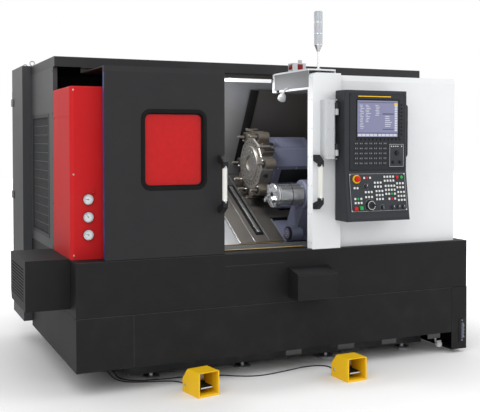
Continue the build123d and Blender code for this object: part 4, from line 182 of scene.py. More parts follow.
def add(tree: Tree, kind: str, values: dict[str | int, object] | None = None,
        **settings: object) -> bpy.types.Node:
    """Add a node to a tree.

    Args:
        tree: The tree that gets the node.
        kind: Blender's name of the node type.
        values: Sockets and values for its inputs, by name or number.
        settings: Attributes of the node.
    Returns:
        The new node.
    """
    node = tree.nodes.new(kind)
    for name, value in settings.items():
        setattr(node, name, value)
    feed(tree, node, values or {})
    return node


def math_node(tree: Tree, operation: str, first: object, second: object) -> Socket:
    """Arithmetic on two sockets or numbers.

    Args:
        tree: The tree to work in.
        operation: Blender's name of the operation.
        first: Socket or number.
        second: Socket or number.
    Returns:
        The socket with the result.
    """
    return add(tree, "ShaderNodeMath", {0: first, 1: second}, operation=operation).outputs[0]


def mix_colour(tree: Tree, factor: Socket, first: object, second: object) -> Socket:
    """Mix of two colours.

    Args:
        tree: The tree to work in.
        factor: Share of the second colour.
        first: Socket, or red, green, blue and alpha.
        second: The same.
    Returns:
        The socket with the colour.
    """
    return add(tree, "ShaderNodeMix", {0: factor, 6: first, 7: second}, data_type="RGBA").outputs[2]


def noise(tree: Tree, vector: Socket, scale: object, detail: float) -> Socket:
    """Noise over a vector.

    Args:
        tree: The tree to work in.
        vector: Where the noise is read.
        scale: Socket or number.
        detail: Number of finer layers.
    Returns:
        The socket with the value.
    """
    return add(tree, "ShaderNodeTexNoise", {"Vector": vector, "Scale": scale, "Detail": detail}).outputs[0]


def ramp(tree: Tree, value: Socket, low: float, high: float) -> Socket:
    """Smooth step from 0 to 1.

    Args:
        tree: The tree to work in.
        value: Socket with the value.
        low: Value that gives 0.
        high: Value that gives 1.
    Returns:
        The socket with the step.
    """
    return add(tree, "ShaderNodeMapRange", {0: value, 1: low, 2: high},
               interpolation_type="SMOOTHSTEP").outputs[0]


BROAD_PATCHES, STAINS, RINGS = 2.3, 7.0, 140.0
STAIN_EDGES = (0.42, 0.75)
SPLASH_HEIGHT = 0.9


def surface_group(name: str, mottle: float, stretch: Point = (1, 1, 1), rings: bool = False) -> Tree:
    """Shader group that turns a colour into a worn surface, shared by many materials.

    Args:
        name: Name of the group.
        mottle: How much lighter or darker large patches are.
        stretch: How the grain is drawn out along each axis.
        rings: True for fine turned rings about X.
    Returns:
        The group. It gives a colour, a roughness and a height.
    """
    tree = bpy.data.node_groups.new(name, "ShaderNodeTree")
    for way, labels in (("INPUT", ("Color", "Roughness", "Grain", "Grime")),
                        ("OUTPUT", ("Color", "Roughness", "Height"))):
        for label in labels:
            kind = "NodeSocketColor" if label == "Color" else "NodeSocketFloat"
            tree.interface.new_socket(label, in_out=way, socket_type=kind)
    given = tree.nodes.new("NodeGroupInput").outputs
    plus, minus, times = (partial(math_node, tree, kind) for kind in ("ADD", "SUBTRACT", "MULTIPLY"))
    place = add(tree, "ShaderNodeTexCoord").outputs["Object"]
    drawn = add(tree, "ShaderNodeMapping", {"Vector": place, "Scale": stretch}).outputs[0]
    fine = noise(tree, drawn, given["Grain"], 2.0)
    if rings:
        wave = add(tree, "ShaderNodeTexWave", {"Vector": place, "Scale": RINGS, "Distortion": 0.6,
                                               "Detail": 1.0}, wave_type="BANDS", bands_direction="X")
        fine = plus(times(fine, 0.5), times(wave.outputs["Fac"], 0.5))
    broad = noise(tree, place, BROAD_PATCHES, 5.0)
    level = plus(plus(times(broad, 2 * mottle), 1.0 - mottle), times(minus(fine, 0.5), mottle))
    tint = add(tree, "ShaderNodeVectorMath", {0: given["Color"], "Scale": level}, operation="SCALE")
    height = add(tree, "ShaderNodeSeparateXYZ", {0: place}).outputs[2]
    low_down = minus(1.0, ramp(tree, height, 0.0, SPLASH_HEIGHT))
    cloud = ramp(tree, noise(tree, place, STAINS, 6.0), *STAIN_EDGES)
    dirt = times(times(plus(times(low_down, 0.6), 0.25), cloud), given["Grime"])
    rough = plus(plus(given["Roughness"], times(dirt, 0.5)), times(minus(broad, 0.5), 0.12))
    colour = mix_colour(tree, dirt, tint.outputs[0], DUST.shade(1.0))
    add(tree, "NodeGroupOutput", {"Color": colour, "Roughness": rough, "Height": fine})
    return tree


class Paintshop:
    """Makes each material once and hands it out by finish."""

    METALS = (Surface.BRUSHED, Surface.TURNED)
    METALLIC = 0.9
    PAINT_SHINE = 0.2
    GLOW = 0.8

    def __init__(self) -> None:
        """Build the shared groups."""
        self.groups = {
            Surface.ENAMEL: surface_group("enamel surface", 0.05),
            Surface.BRUSHED: surface_group("brushed surface", 0.12, (0.03, 1, 1)),
            Surface.TURNED: surface_group("turned surface", 0.1, (1, 0.2, 0.2), rings=True),
            Surface.CAST: surface_group("cast surface", 0.1),
            Surface.MOULDED: surface_group("moulded surface", 0.04),
            Surface.RUBBER: surface_group("rubber surface", 0.08),
        }
        self.made: dict[str, bpy.types.Material] = {}

    def material(self, finish: Finish) -> bpy.types.Material:
        """The material of a finish.

        Args:
            finish: The finish wanted.
        Returns:
            Its material, the same one each time.
        """
        if finish.name not in self.made:
            material = self.made[finish.name] = bpy.data.materials.new(finish.name)
            material.use_nodes = True
            tree = material.node_tree
            special = {Surface.LIT: self.lit, Surface.GLASS: self.see_through, Surface.LAMP: self.see_through}
            values = special.get(finish.surface, self.worn)(tree, finish)
            feed(tree, tree.nodes["Principled BSDF"], values)
        return self.made[finish.name]

    def worn(self, tree: Tree, finish: Finish) -> dict[str, object]:
        """Lay out an opaque, worn surface.

        Args:
            tree: The material's tree.
            finish: The finish to build.
        Returns:
            Inputs of the main shader.
        """
        group = add(tree, "ShaderNodeGroup", {
            "Color": finish.shade(1.0), "Roughness": finish.roughness, "Grain": finish.grain,
            "Grime": finish.grime}, node_tree=self.groups[finish.surface]).outputs
        bump = add(tree, "ShaderNodeBump", {"Strength": finish.bump, "Distance": MM,
                                            "Height": group["Height"]})
        metal = finish.surface in self.METALS
        gloss = {"Metallic": self.METALLIC} if metal else {"Specular IOR Level": self.PAINT_SHINE}
        return gloss | {"Base Color": group["Color"], "Roughness": group["Roughness"],
                        "Normal": bump.outputs[0]}

    def lit(self, tree: Tree, finish: Finish) -> dict[str, object]:
        """Lay out a screen or lamp that glows a little unevenly.

        Args:
            tree: The material's tree.
            finish: The finish to build.
        Returns:
            Inputs of the main shader.
        """
        place = add(tree, "ShaderNodeTexCoord").outputs["Object"]
        glow = mix_colour(tree, noise(tree, place, finish.grain, 2.0), finish.shade(1.0), finish.shade(0.9))
        return {"Emission Color": glow, "Emission Strength": self.GLOW, "Base Color": finish.shade(0.2),
                "Roughness": finish.roughness}

    def see_through(self, tree: Tree, finish: Finish) -> dict[str, object]:
        """Lay out glass or a milky lens with faint streaks.

        Args:
            tree: The material's tree.
            finish: The finish to build.
        Returns:
            Inputs of the main shader.
        """
        place = add(tree, "ShaderNodeTexCoord").outputs["Object"]
        streaks = noise(tree, place, finish.grain, 4.0)
        colour = mix_colour(tree, ramp(tree, streaks, 0.3, 0.8), finish.shade(1.0), finish.shade(0.88))
        rough = math_node(tree, "ADD", finish.roughness, math_node(tree, "MULTIPLY", streaks, 0.06))
        glass = {"Transmission Weight": 0.3, "Specular IOR Level": 0.25}
        milk = {"Subsurface Weight": 0.2, "Subsurface Scale": 5 * MM}
        kind = glass if finish.surface is Surface.GLASS else milk
        return {"Base Color": colour, "Roughness": rough} | kind


# Drawing pieces. Sizes are millimetres from the left front corner of the base cover.

class Draft:
    """A mesh in the making, drawn in millimetres in a local frame."""

    MOST_ROUNDING = 0.45

    def __init__(self, place: Matrix) -> None:
        """Start an empty mesh.

        Args:
            place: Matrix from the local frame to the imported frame.
        """
        self.form = bmesh.new()
        self.place = place

    def row(self, points: Iterable[Point]) -> Vertices:
        """Add vertices.

        Args:
            points: Their places in the local frame.
        Returns:
            The vertices.
        """
        return [self.form.verts.new(self.place @ Vector(point)) for point in points]

    def hoop(self, middle: Vector, side: Vector, other: Vector, steps: int) -> Vertices:
        """Add vertices round a circle.

        Args:
            middle: Middle of the circle.
            side: Radius toward the first vertex.
            other: Radius a quarter turn on.
            steps: Number of vertices.
        Returns:
            The vertices.
        """
        angles = [math.tau * step / steps for step in range(steps)]
        return self.row(middle + math.cos(a) * side + math.sin(a) * other for a in angles)

    def skin(self, rows: Sequence[Vertices]) -> None:
        """Add the faces between closed rows of vertices.

        Args:
            rows: The rows. A row of one vertex is a tip.
        """
        steps = max(map(len, rows))
        for first, second in zip(rows, rows[1:]):
            for step in range(steps):
                corners = (first[step % len(first)], first[(step + 1) % len(first)],
                           second[(step + 1) % len(second)], second[step % len(second)])
                unique = list(dict.fromkeys(corners))
                if len(unique) > 2:
                    self.form.faces.new(unique)

    def box(self, low: Point, high: Point, rounding: float) -> None:
        """Add a box with rounded edges.

        Args:
            low: Its lowest corner.
            high: Its highest corner.
            rounding: Edge radius.
        """
        size = [b - a for a, b in zip(low, high)]
        made = bmesh.ops.create_cube(self.form, size=1.0)["verts"]
        edges = list({edge for vert in made for edge in vert.link_edges})
        for vert in made:
            vert.co = Vector([(a + b) / 2 + s * v for a, b, s, v in zip(low, high, size, vert.co)])
        offset = min(rounding, min(size) * self.MOST_ROUNDING)
        done = bmesh.ops.bevel(self.form, geom=edges, offset=offset, segments=2, affect="EDGES", profile=0.5)
        for vert in set(done["verts"]):
            vert.co = self.place @ vert.co

    def turned(self, profile: Sequence[Point], centre: Point, axis: Point, steps: int = 32) -> None:
        """Add a turned shape.

        Args:
            profile: Points of distance along the axis and radius.
            centre: Point on the axis.
            axis: Direction of the axis.
            steps: Number of facets round it.
        """
        along = Vector(axis).normalized()
        side = along.orthogonal().normalized()
        other = along.cross(side)
        self.skin([self.hoop(Vector(centre) + along * distance, radius * side, radius * other,
                             steps if radius else 1) for distance, radius in profile])

    def plate(self, outline: Sequence[Point], depth: Point) -> None:
        """Add a closed plate.

        Args:
            outline: Its corner points on one side.
            depth: Vector to its other side.
        """
        near = self.row(outline)
        far = self.row(Vector(point) + Vector(depth) for point in outline)
        self.form.faces.new(near)
        self.form.faces.new(far[::-1])
        self.skin([near, far])

    def frame(self, outer: Sequence[Point], inner: Sequence[Point], depth: Point) -> None:
        """Add a flat closed frame between two outlines.

        Args:
            outer: Points of the outer outline.
            inner: Points of the inner outline, one for each outer one.
            depth: Vector from one side of the frame to the other.
        """
        near, far = Vector(), Vector(depth)
        rows = [self.row(Vector(point) + shift for point in line)
                for line, shift in ((outer, near), (outer, far), (inner, far), (inner, near))]
        self.skin(rows + rows[:1])

    def rim(self, axis: int, place: float, low: Point, high: Point, width: float, depth: float,
            rise: float = 0.0) -> None:
        """Add a rectangular frame square to an axis.

        Args:
            axis: Number of the axis.
            place: Where the frame's outer outline lies on it.
            low: Lowest corner on the other two axes.
            high: Highest corner on them.
            width: Width of the frame, inward.
            depth: How thick it is along the axis.
            rise: How much further along the axis its inner outline lies.
        """
        rows = []
        for inset, level in ((0.0, place), (width, place + rise)):
            left, under, right, top = low[0] + inset, low[1] + inset, high[0] - inset, high[1] - inset
            flat = ((left, under), (right, under), (right, top), (left, top))
            rows.append([(*pair[:axis], level, *pair[axis:]) for pair in flat])
        self.frame(*rows, [depth * (number == axis) for number in range(3)])

    def tube(self, points: Sequence[Point], radius: float, steps: int = 12) -> None:
        """Add a round tube with closed ends along a line of points.

        Args:
            points: Points of its centre line.
            radius: Its radius.
            steps: Number of facets round it.
        """
        line = [Vector(point) for point in points]
        side = (line[1] - line[0]).orthogonal().normalized()
        rows = []
        for index, spot in enumerate(line):
            along = (line[min(index + 1, len(line) - 1)] - line[max(index - 1, 0)]).normalized()
            side = (side - along * side.dot(along)).normalized()
            rows.append(self.hoop(spot, radius * side, radius * along.cross(side), steps))
        self.skin(rows)
        self.form.faces.new(rows[0][::-1])
        self.form.faces.new(rows[-1])

    def mesh(self, name: str) -> bpy.types.Mesh:
        """Close the drawing.

        Args:
            name: Name of the mesh.
        Returns:
            The mesh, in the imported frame.
        """
        bmesh.ops.recalc_face_normals(self.form, faces=self.form.faces)
        mesh = bpy.data.meshes.new(name)
        self.form.to_mesh(mesh)
        self.form.free()
        return mesh


@dataclass
class Bench:
    """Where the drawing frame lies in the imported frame, and what finishes a piece."""

    FACING: ClassVar[float] = 0.999
    GRID: ClassVar[float] = 1e5

    shop: Paintshop
    corner: Vector = field(default_factory=lambda: Vector((*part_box("base_upper_cover")[0].xy, 0.0)))

    @property
    def home(self) -> Matrix:
        """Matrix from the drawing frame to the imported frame."""
        return Matrix.Translation(self.corner) @ Matrix.Scale(MM, 4)

    def spot(self, *place: float) -> Vector:
        """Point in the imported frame.

        Args:
            place: The point in the drawing frame.
        Returns:
            The point, in metres.
        """
        return self.home @ Vector(place)

    @contextmanager
    def piece(self, name: str, finish: Finish, body: str, local: Matrix | None = None) -> Iterator[Draft]:
        """Draw a piece, and settle it when the drawing is done.

        Args:
            name: Name of the piece.
            finish: Its finish.
            body: The body it moves with.
            local: Matrix from a local frame to the drawing frame, or None for the drawing frame.
        Yields:
            The drawing.
        """
        draft = Draft(self.home @ local if local else self.home)
        yield draft
        self.settle(name, draft.mesh(name), finish, body)

    def settle(self, name: str, mesh: bpy.types.Mesh, finish: Finish, body: str) -> bpy.types.Object:
        """Make a finished piece of a mesh.

        Args:
            name: Name of the piece.
            mesh: Its mesh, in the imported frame.
            finish: Its finish.
            body: The body it moves with.
        Returns:
            The new object.
        """
        mesh.shade_smooth()
        mesh.set_sharp_from_angle(angle=SHARP)
        if not mesh.materials:
            mesh.materials.append(self.shop.material(finish))
        piece = bpy.data.objects.new(name, mesh)
        bpy.context.scene.collection.objects.link(piece)
        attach(piece, body)
        LOG.info("%s: %d faces on %s", name, len(mesh.polygons), body)
        return piece

    def patches(self, node: str, normal: Vector, widths: Pair) -> list[Vector]:
        """Middles of the flat patches of a CAD node that face one way.

        Args:
            node: Name of the CAD node.
            normal: Direction they face.
            widths: Smallest and largest width in millimetres.
        Returns:
            The middles, in the drawing frame.
        """
        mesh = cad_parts[node].data
        home: dict[tuple[int, ...], int] = {}
        groups: list[set[tuple[int, ...]]] = []
        for face in mesh.polygons:
            if face.normal.dot(normal) < self.FACING:
                continue
            keys = {tuple(round(c * self.GRID) for c in mesh.vertices[i].co) for i in face.vertices}
            touched = sorted({home[key] for key in keys if key in home})
            merged = keys.union(*(groups[index] for index in touched))
            for index in touched:
                groups[index] = set()
            groups.append(merged)
            home.update((key, len(groups) - 1) for key in merged)
        found = []
        for group in filter(None, groups):
            low, high = (Vector(map(pick, zip(*group))) / self.GRID for pick in (min, max))
            if widths[0] < (high.x - low.x) / MM < widths[1]:
                found.append(self.home.inverted() @ ((low + high) / 2))
        return found


class PatternTree:
    """A Geometry Nodes tree that sets small parts on points and makes them one mesh."""

    def __init__(self, name: str, inputs: Sequence[tuple[str, str, object]],
                 build: Callable[["PatternTree"], tuple[Socket, Socket | None]]) -> None:
        """Make the tree.

        Args:
            name: Name of the tree.
            inputs: Label, socket type and default of each named input.
            build: Function that lays out one small part and returns it with its turn, if it has one.
        """
        self.tree = bpy.data.node_groups.new(name, "GeometryNodeTree")
        self.keys: dict[str, str] = {}
        rows = (("Geometry", "Geometry", None), *inputs, ("Material", "Material", None))
        for label, kind, default in rows:
            made = self.tree.interface.new_socket(label, in_out="INPUT", socket_type="NodeSocket" + kind)
            if default is not None:
                made.default_value = default
            self.keys[label] = made.identifier
        self.tree.interface.new_socket("Geometry", in_out="OUTPUT", socket_type="NodeSocketGeometry")
        self.given = self.tree.nodes.new("NodeGroupInput").outputs
        shape, turn = build(self)
        points = self.add("MeshToPoints", {"Mesh": self.given["Geometry"]})
        turned = {"Rotation": turn} if turn else {}
        copies = self.add("InstanceOnPoints", {"Points": points, "Instance": shape} | turned)
        real = self.add("RealizeInstances", {0: copies})
        paint = self.add("SetMaterial", {"Geometry": real, "Material": self.given["Material"]})
        add(self.tree, "NodeGroupOutput", {0: paint})

    def add(self, kind: str, values: dict[str | int, object], **settings: object) -> Socket:
        """Add a geometry node.

        Args:
            kind: Blender's name of the node type, from after GeometryNode.
            values: Sockets and values for its inputs, by name or number.
            settings: Attributes of the node.
        Returns:
            Its first output.
        """
        return add(self.tree, "GeometryNode" + kind, values, **settings).outputs[0]

    def grow(self, bench: Bench, name: str, points: Iterable[Point], finish: Finish, body: str,
             **sizes: object) -> bpy.types.Object:
        """Run the tree on seed points and keep the plain result.

        Args:
            bench: The bench that finishes the piece.
            name: Name of the piece.
            points: Points of the drawing frame that carry the small parts.
            finish: Their finish.
            body: The body they move with.
            sizes: Values of the named inputs, with underscores for spaces.
        Returns:
            The new object.
        """
        seeds = bpy.data.meshes.new("seeds")
        seeds.from_pydata([bench.spot(*point) for point in points], [], [])
        carrier = bpy.data.objects.new(name + "_seeds", seeds)
        bpy.context.scene.collection.objects.link(carrier)
        modifier = carrier.modifiers.new("pattern", "NODES")
        modifier.node_group = self.tree
        modifier[self.keys["Material"]] = bench.shop.material(finish)
        for label, value in sizes.items():
            modifier[self.keys[label.replace("_", " ")]] = value
        bpy.context.view_layer.update()
        graph = bpy.context.evaluated_depsgraph_get()
        mesh = bpy.data.meshes.new_from_object(carrier.evaluated_get(graph), depsgraph=graph)
        bpy.data.objects.remove(carrier)
        return bench.settle(name, mesh, finish, body)


def screw_nodes(pattern: PatternTree) -> tuple[Socket, Socket]:
    """Lay out a socket-head screw along an axis.

    Args:
        pattern: The tree to build in.
    Returns:
        The screw and its turn.
    """
    tree, radius, height = pattern.tree, pattern.given["Head Radius"], pattern.given["Head Height"]
    head = pattern.add("MeshCylinder", {"Vertices": 16, "Radius": radius, "Depth": height})
    drive = pattern.add("MeshCylinder", {"Vertices": 6, "Radius": math_node(tree, "MULTIPLY", radius, 0.55),
                                         "Depth": math_node(tree, "MULTIPLY", height, 1.2)})
    lift = add(tree, "ShaderNodeCombineXYZ", {2: math_node(tree, "MULTIPLY", height, 0.35)}).outputs[0]
    raised = pattern.add("Transform", {"Geometry": drive, "Translation": lift})
    screw = pattern.add("MeshBoolean", {0: head, 1: raised}, operation="DIFFERENCE", solver="EXACT")
    aim = add(tree, "FunctionNodeAlignRotationToVector", {"Vector": pattern.given["Axis"]}, axis="Z")
    return screw, aim.outputs[0]


def slat_nodes(pattern: PatternTree) -> tuple[Socket, None]:
    """Lay out a slat.

    Args:
        pattern: The tree to build in.
    Returns:
        The slat, and no turn.
    """
    return pattern.add("MeshCube", {"Size": pattern.given["Size"]}), None


def key_nodes(pattern: PatternTree) -> tuple[Socket, Socket]:
    """Lay out a rounded key cap that narrows toward its top.

    Args:
        pattern: The tree to build in.
    Returns:
        The cap and its turn.
    """
    tree, given = pattern.tree, pattern.given
    outline = pattern.add("CurvePrimitiveQuadrilateral", {0: given["Width"], 1: given["Height"]})
    soft = pattern.add("FilletCurve", {"Curve": outline, "Count": 3, "Radius": given["Corner"]}, mode="POLY")
    base = pattern.add("FillCurve", {0: soft}, mode="NGONS")
    raised = add(tree, "GeometryNodeExtrudeMesh", {"Mesh": base, "Offset Scale": given["Thickness"],
                                                   "Individual": False}).outputs
    slope = pattern.add("ScaleElements", {"Geometry": raised["Mesh"], "Selection": raised["Top"],
                                          "Scale": 0.88})
    under = pattern.add("FlipFaces", {"Mesh": base})
    whole = add(tree, "GeometryNodeJoinGeometry")
    for part in (slope, under):
        feed(tree, whole, {0: part})
    return whole.outputs[0], given["Turn"]


class Patterns:
    """The Geometry Nodes trees, each built once."""

    def __init__(self) -> None:
        """Build the trees."""
        self.screw = PatternTree("socket screws", (
            ("Head Radius", "Float", 5 * MM), ("Head Height", "Float", 3 * MM),
            ("Axis", "Vector", (0.0, -1.0, 0.0))), screw_nodes)
        self.slat = PatternTree("louvre slats", (("Size", "Vector", (0.1, 0.01, 0.002)),), slat_nodes)
        self.key = PatternTree("key caps", (
            ("Width", "Float", 12 * MM), ("Height", "Float", 12 * MM), ("Corner", "Float", 2 * MM),
            ("Thickness", "Float", 2 * MM), ("Turn", "Rotation", None)), key_nodes)


def grid(xs: Sequence[float], ys: Sequence[float], zs: Sequence[float]) -> list[tuple[float, ...]]:
    """Every point whose places along the axes are among the given ones.

    Args:
        xs: Places along X.
        ys: Places along Y.
        zs: Places along Z.
    Returns:
        The points.
    """
    return [(x, y, z) for x in xs for y in ys for z in zs]


def spaced(low: float, high: float, count: int) -> list[float]:
    """Evenly spaced values.

    Args:
        low: The first.
        high: The last.
        count: How many.
    Returns:
        The values.
    """
    return [low + (high - low) * index / (count - 1) for index in range(count)]


def ring(centre: Point, radius: float, count: int, start: float = 0.0) -> list[tuple[float, ...]]:
    """Points on a circle about an axis along X.

    Args:
        centre: Middle of the circle.
        radius: Its radius.
        count: Number of points.
        start: Angle of the first, in degrees.
    Returns:
        The points.
    """
    angles = [math.radians(start + 360 * index / count) for index in range(count)]
    return [(centre[0], centre[1] + radius * math.cos(a), centre[2] + radius * math.sin(a)) for a in angles]


def disc(radius: float, height: float) -> list[Pair]:
    """Profile of a plain turned disc.

    Args:
        radius: Its radius.
        height: Its length along the axis.
    Returns:
        Points of distance along the axis and radius.
    """
    return [(0, 0), (0, radius), (height, radius), (height, 0)]


def slanted(place: Pair) -> Matrix:
    """Matrix from a frame that lies on the slant of the bed to the drawing frame.

    Args:
        place: Y and Z of the frame's origin.
    Returns:
        The matrix. Its Y runs up along the ways and its Z out of them.
    """
    return Matrix.Translation((0, *place)) @ Matrix.Rotation(SLANT, 4, "X")


# Finishes of the CAD nodes

NODE_FINISH: dict[str, Finish] = {
    "bed_casting": CASTING, "levelling_feet": ZINC, "base_upper_cover": CHARCOAL, "base_lower_cover": CHARCOAL,
    "base_end_block": CHARCOAL, "coolant_box": CHARCOAL, "side_panel": PANEL_GREY, "red_cover": RED,
    "pressure_gauges": BLACK, "front_left_wall": SHEET, "right_enclosure": WHITE, "right_post": WHITE,
    "post_handle_brackets": BLACK, "post_handle_grip": GRIP, "rear_wall": PANEL_GREY, "roof": DARK_ROOF,
    "door_tracks": TRACK, "interlock_switch": LIGHT_GREY, "work_light": LAMP_STRIP, "tower_pole": BRIGHT,
    "signal_lamp": LENS, "front_hood": CHARCOAL, "pendant_arm": LIGHT_GREY, "headstock": CASTING,
    "fixed_way_covers": SHEET, "chip_tray": SHEET, "spindle_motor": CASTING, "cabinet_shell": PANEL_GREY,
    "drive_rack": ZINC, "cable_glands": BLACK, "pedal_guards": YELLOW, "pedal_cable_left": RUBBER,
    "pedal_cable_right": RUBBER, "left_door": DOOR_GREY, "window_frame": GASKET, "window_glass": PANE,
    "door_handle_brackets": BLACK, "door_handle_grip": GRIP, "spindle": GROUND, "main_chuck": GROUND,
    "chuck_jaws": GROUND, "saddle": CASTING, "moving_way_cover": DARK_SHEET, "cross_slide": SLATE,
    "turret_housing": SLATE, "turret_disc": GROUND, "tool_holders": TOOL_STEEL, "tailstock": SLATE,
    "tail_chuck": BRIGHT, "pendant_case": CONSOLE, "display_unit": DISPLAY, "operator_panel": DESK,
    "e_stop_button": STOP_RED, "handwheel": BLACK, "cycle_start_button": GO_GREEN, "feed_hold_button": STOP_RED,
    "override_knob": BLACK, "cabinet_door": PANEL_GREY, "treadle_left": BLACK, "treadle_right": BLACK,
}


def dress_nodes(shop: Paintshop) -> None:
    """Give every carried-over CAD node its material.

    Args:
        shop: The shop that makes the materials.
    """
    for name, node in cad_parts.items():
        finish = NODE_FINISH[name]
        for place in node.material_slots:
            place.material = shop.material(finish)
        LOG.info("%s: %s", name, finish.name)


@dataclass
class Studio:
    """Floor, lamps, sky and camera. Each lamp has its place, side and power."""

    bench: Bench
    lens: float = 62.98
    yaw: float = 23.833
    pitch: float = -1.683
    shift_down: float = 0.0854
    eye: Spot = (-1160, -5136, 1616)
    chamber_lamp: Spot = (1130, 520, 2030)
    aim: Spot = (0.0, -0.2, 1.0)
    half_floor: float = 30.0
    plain_sky: float = 0.7
    white_sky: float = 1.0
    floor_fade: Pair = (1.2, 5.0)
    floor_glow: float = 0.8
    lamps: tuple[tuple[str, Spot, float, float], ...] = (
        ("key", (-3.2, -4.6, 4.6), 5.0, 150), ("fill", (4.5, -3.8, 3.4), 4.0, 70),
        ("back", (-1.0, 5.5, 4.0), 4.0, 60))

    def build(self) -> None:
        """Set up the studio."""
        scene = bpy.context.scene
        scene.view_settings.view_transform = "Standard"
        data = bpy.data.cameras.new("camera")
        data.lens, data.shift_y, data.clip_end = self.lens, -self.shift_down, 100
        camera = bpy.data.objects.new("camera", data)
        camera.location = self.bench.spot(*self.eye)
        camera.rotation_euler = (math.radians(90 + self.pitch), 0, math.radians(-self.yaw))
        scene.collection.objects.link(camera)
        scene.camera = camera
        self.sky(scene)
        self.floor(scene)
        inside = ("chamber", self.bench.spot(*self.chamber_lamp), 0.4, 13)
        for name, place, size, power in (*self.lamps, inside):
            light = bpy.data.lights.new(name, "AREA")
            light.size, light.energy = size, power
            lamp = bpy.data.objects.new(name, light)
            lamp.location = place
            lamp.rotation_euler = (Vector(place) - Vector(self.aim)).to_track_quat("Z", "Y").to_euler()
            scene.collection.objects.link(lamp)

    def sky(self, scene: bpy.types.Scene) -> None:
        """World that is white to the camera and a plain grey light to the object.

        Args:
            scene: The scene that gets it.
        """
        world = scene.world = bpy.data.worlds.new("sky")
        world.use_nodes = True
        tree = world.node_tree
        tree.nodes.clear()
        rays = add(tree, "ShaderNodeLightPath").outputs
        mirrored = math_node(tree, "MAXIMUM", rays["Is Glossy Ray"], rays["Is Transmission Ray"])
        seen = math_node(tree, "MAXIMUM", rays["Is Camera Ray"], mirrored)
        extra = math_node(tree, "MULTIPLY", seen, self.white_sky - self.plain_sky)
        strength = math_node(tree, "ADD", extra, self.plain_sky)
        back = add(tree, "ShaderNodeBackground", {"Color": (1, 1, 1, 1), "Strength": strength})
        add(tree, "ShaderNodeOutputWorld", {0: back.outputs[0]})

    def floor(self, scene: bpy.types.Scene) -> None:
        """Pale floor that keeps the object's shadow and fades to white away from it.

        Args:
            scene: The scene that gets it.
        """
        half = self.half_floor
        corners = [(-half, -half, 0), (half, -half, 0), (half, half, 0), (-half, half, 0)]
        mesh = bpy.data.meshes.new("floor")
        mesh.from_pydata(corners, [], [range(4)])
        material = bpy.data.materials.new("pale floor")
        material.use_nodes = True
        tree = material.node_tree
        place = add(tree, "ShaderNodeTexCoord").outputs["Object"]
        tone = mix_colour(tree, noise(tree, place, 0.6, 4.0), (0.93, 0.93, 0.93, 1), (0.96, 0.96, 0.96, 1))
        reach = add(tree, "ShaderNodeVectorMath", {0: place}, operation="LENGTH").outputs["Value"]
        seen = add(tree, "ShaderNodeLightPath").outputs["Is Camera Ray"]
        fade = math_node(tree, "MULTIPLY", ramp(tree, reach, *self.floor_fade), seen)
        feed(tree, tree.nodes["Principled BSDF"], {
            "Base Color": tone, "Roughness": 0.9, "Emission Color": (1, 1, 1, 1),
            "Emission Strength": math_node(tree, "MULTIPLY", fade, self.floor_glow)})
        mesh.materials.append(material)
        plane = bpy.data.objects.new("floor", mesh)
        scene.collection.objects.link(plane)


@dataclass
class Trim:
    """A sub-assembly of added pieces. Most of its pieces move with one body."""

    bench: Bench
    patterns: Patterns
    body: ClassVar[str] = "frame"

    def piece(self, name: str, finish: Finish, body: str = "",
              local: Matrix | None = None) -> AbstractContextManager[Draft]:
        """Draw a piece.

        Args:
            name: Name of the piece.
            finish: Its finish.
            body: The body it moves with, if not the sub-assembly's own.
            local: Matrix from a local frame to the drawing frame, if it has one.
        Returns:
            A context with the drawing, which settles the piece at its end.
        """
        return self.bench.piece(name, finish, body or self.body, local)

    def boxes(self, name: str, finish: Finish, *boxes: tuple[Point, Point, float], body: str = "",
              local: Matrix | None = None) -> None:
        """Draw a piece of boxes.

        Args:
            name: Name of the piece.
            finish: Its finish.
            boxes: Lowest corner, highest corner and edge radius of each.
            body: The body it moves with, if not the sub-assembly's own.
            local: Matrix from a local frame to the drawing frame, if it has one.
        """
        with self.piece(name, finish, body, local) as draft:
            for box in boxes:
                draft.box(*box)

    def screws(self, name: str, points: Iterable[Point], axis: Point, radius: float = 5, height: float = 3,
               finish: Finish = ZINC, body: str = "") -> None:
        """Set socket-head screws.

        Args:
            name: Name of the piece.
            points: Seats of the screws.
            axis: Direction their heads face.
            radius: Head radius.
            height: Head height.
            finish: Their finish.
            body: The body they move with, if not the sub-assembly's own.
        """
        self.patterns.screw.grow(self.bench, name, points, finish, body or self.body, Head_Radius=radius * MM,
                                 Head_Height=height * MM, Axis=tuple(axis))

    def slats(self, name: str, points: Iterable[Point], size: Point, finish: Finish) -> None:
        """Set slats.

        Args:
            name: Name of the piece.
            points: Middles of the slats.
            size: Size of a slat along each axis.
            finish: Their finish.
        """
        self.patterns.slat.grow(self.bench, name, points, finish, self.body, Size=tuple(s * MM for s in size))

    def keys(self, name: str, points: Iterable[Point], size: Pair, corner: float, height: float,
             finish: Finish, turn: float = 90) -> None:
        """Set rounded key caps.

        Args:
            name: Name of the piece.
            points: Middles of the caps' undersides.
            size: Width and height of a cap.
            corner: Its corner radius.
            height: How far it stands out.
            finish: Their finish.
            turn: Turn about X in degrees, of a cap that lies flat.
        """
        self.patterns.key.grow(self.bench, name, points, finish, self.body, Width=size[0] * MM,
                               Height=size[1] * MM, Corner=corner * MM, Thickness=height * MM,
                               Turn=(math.radians(turn), 0.0, 0.0))


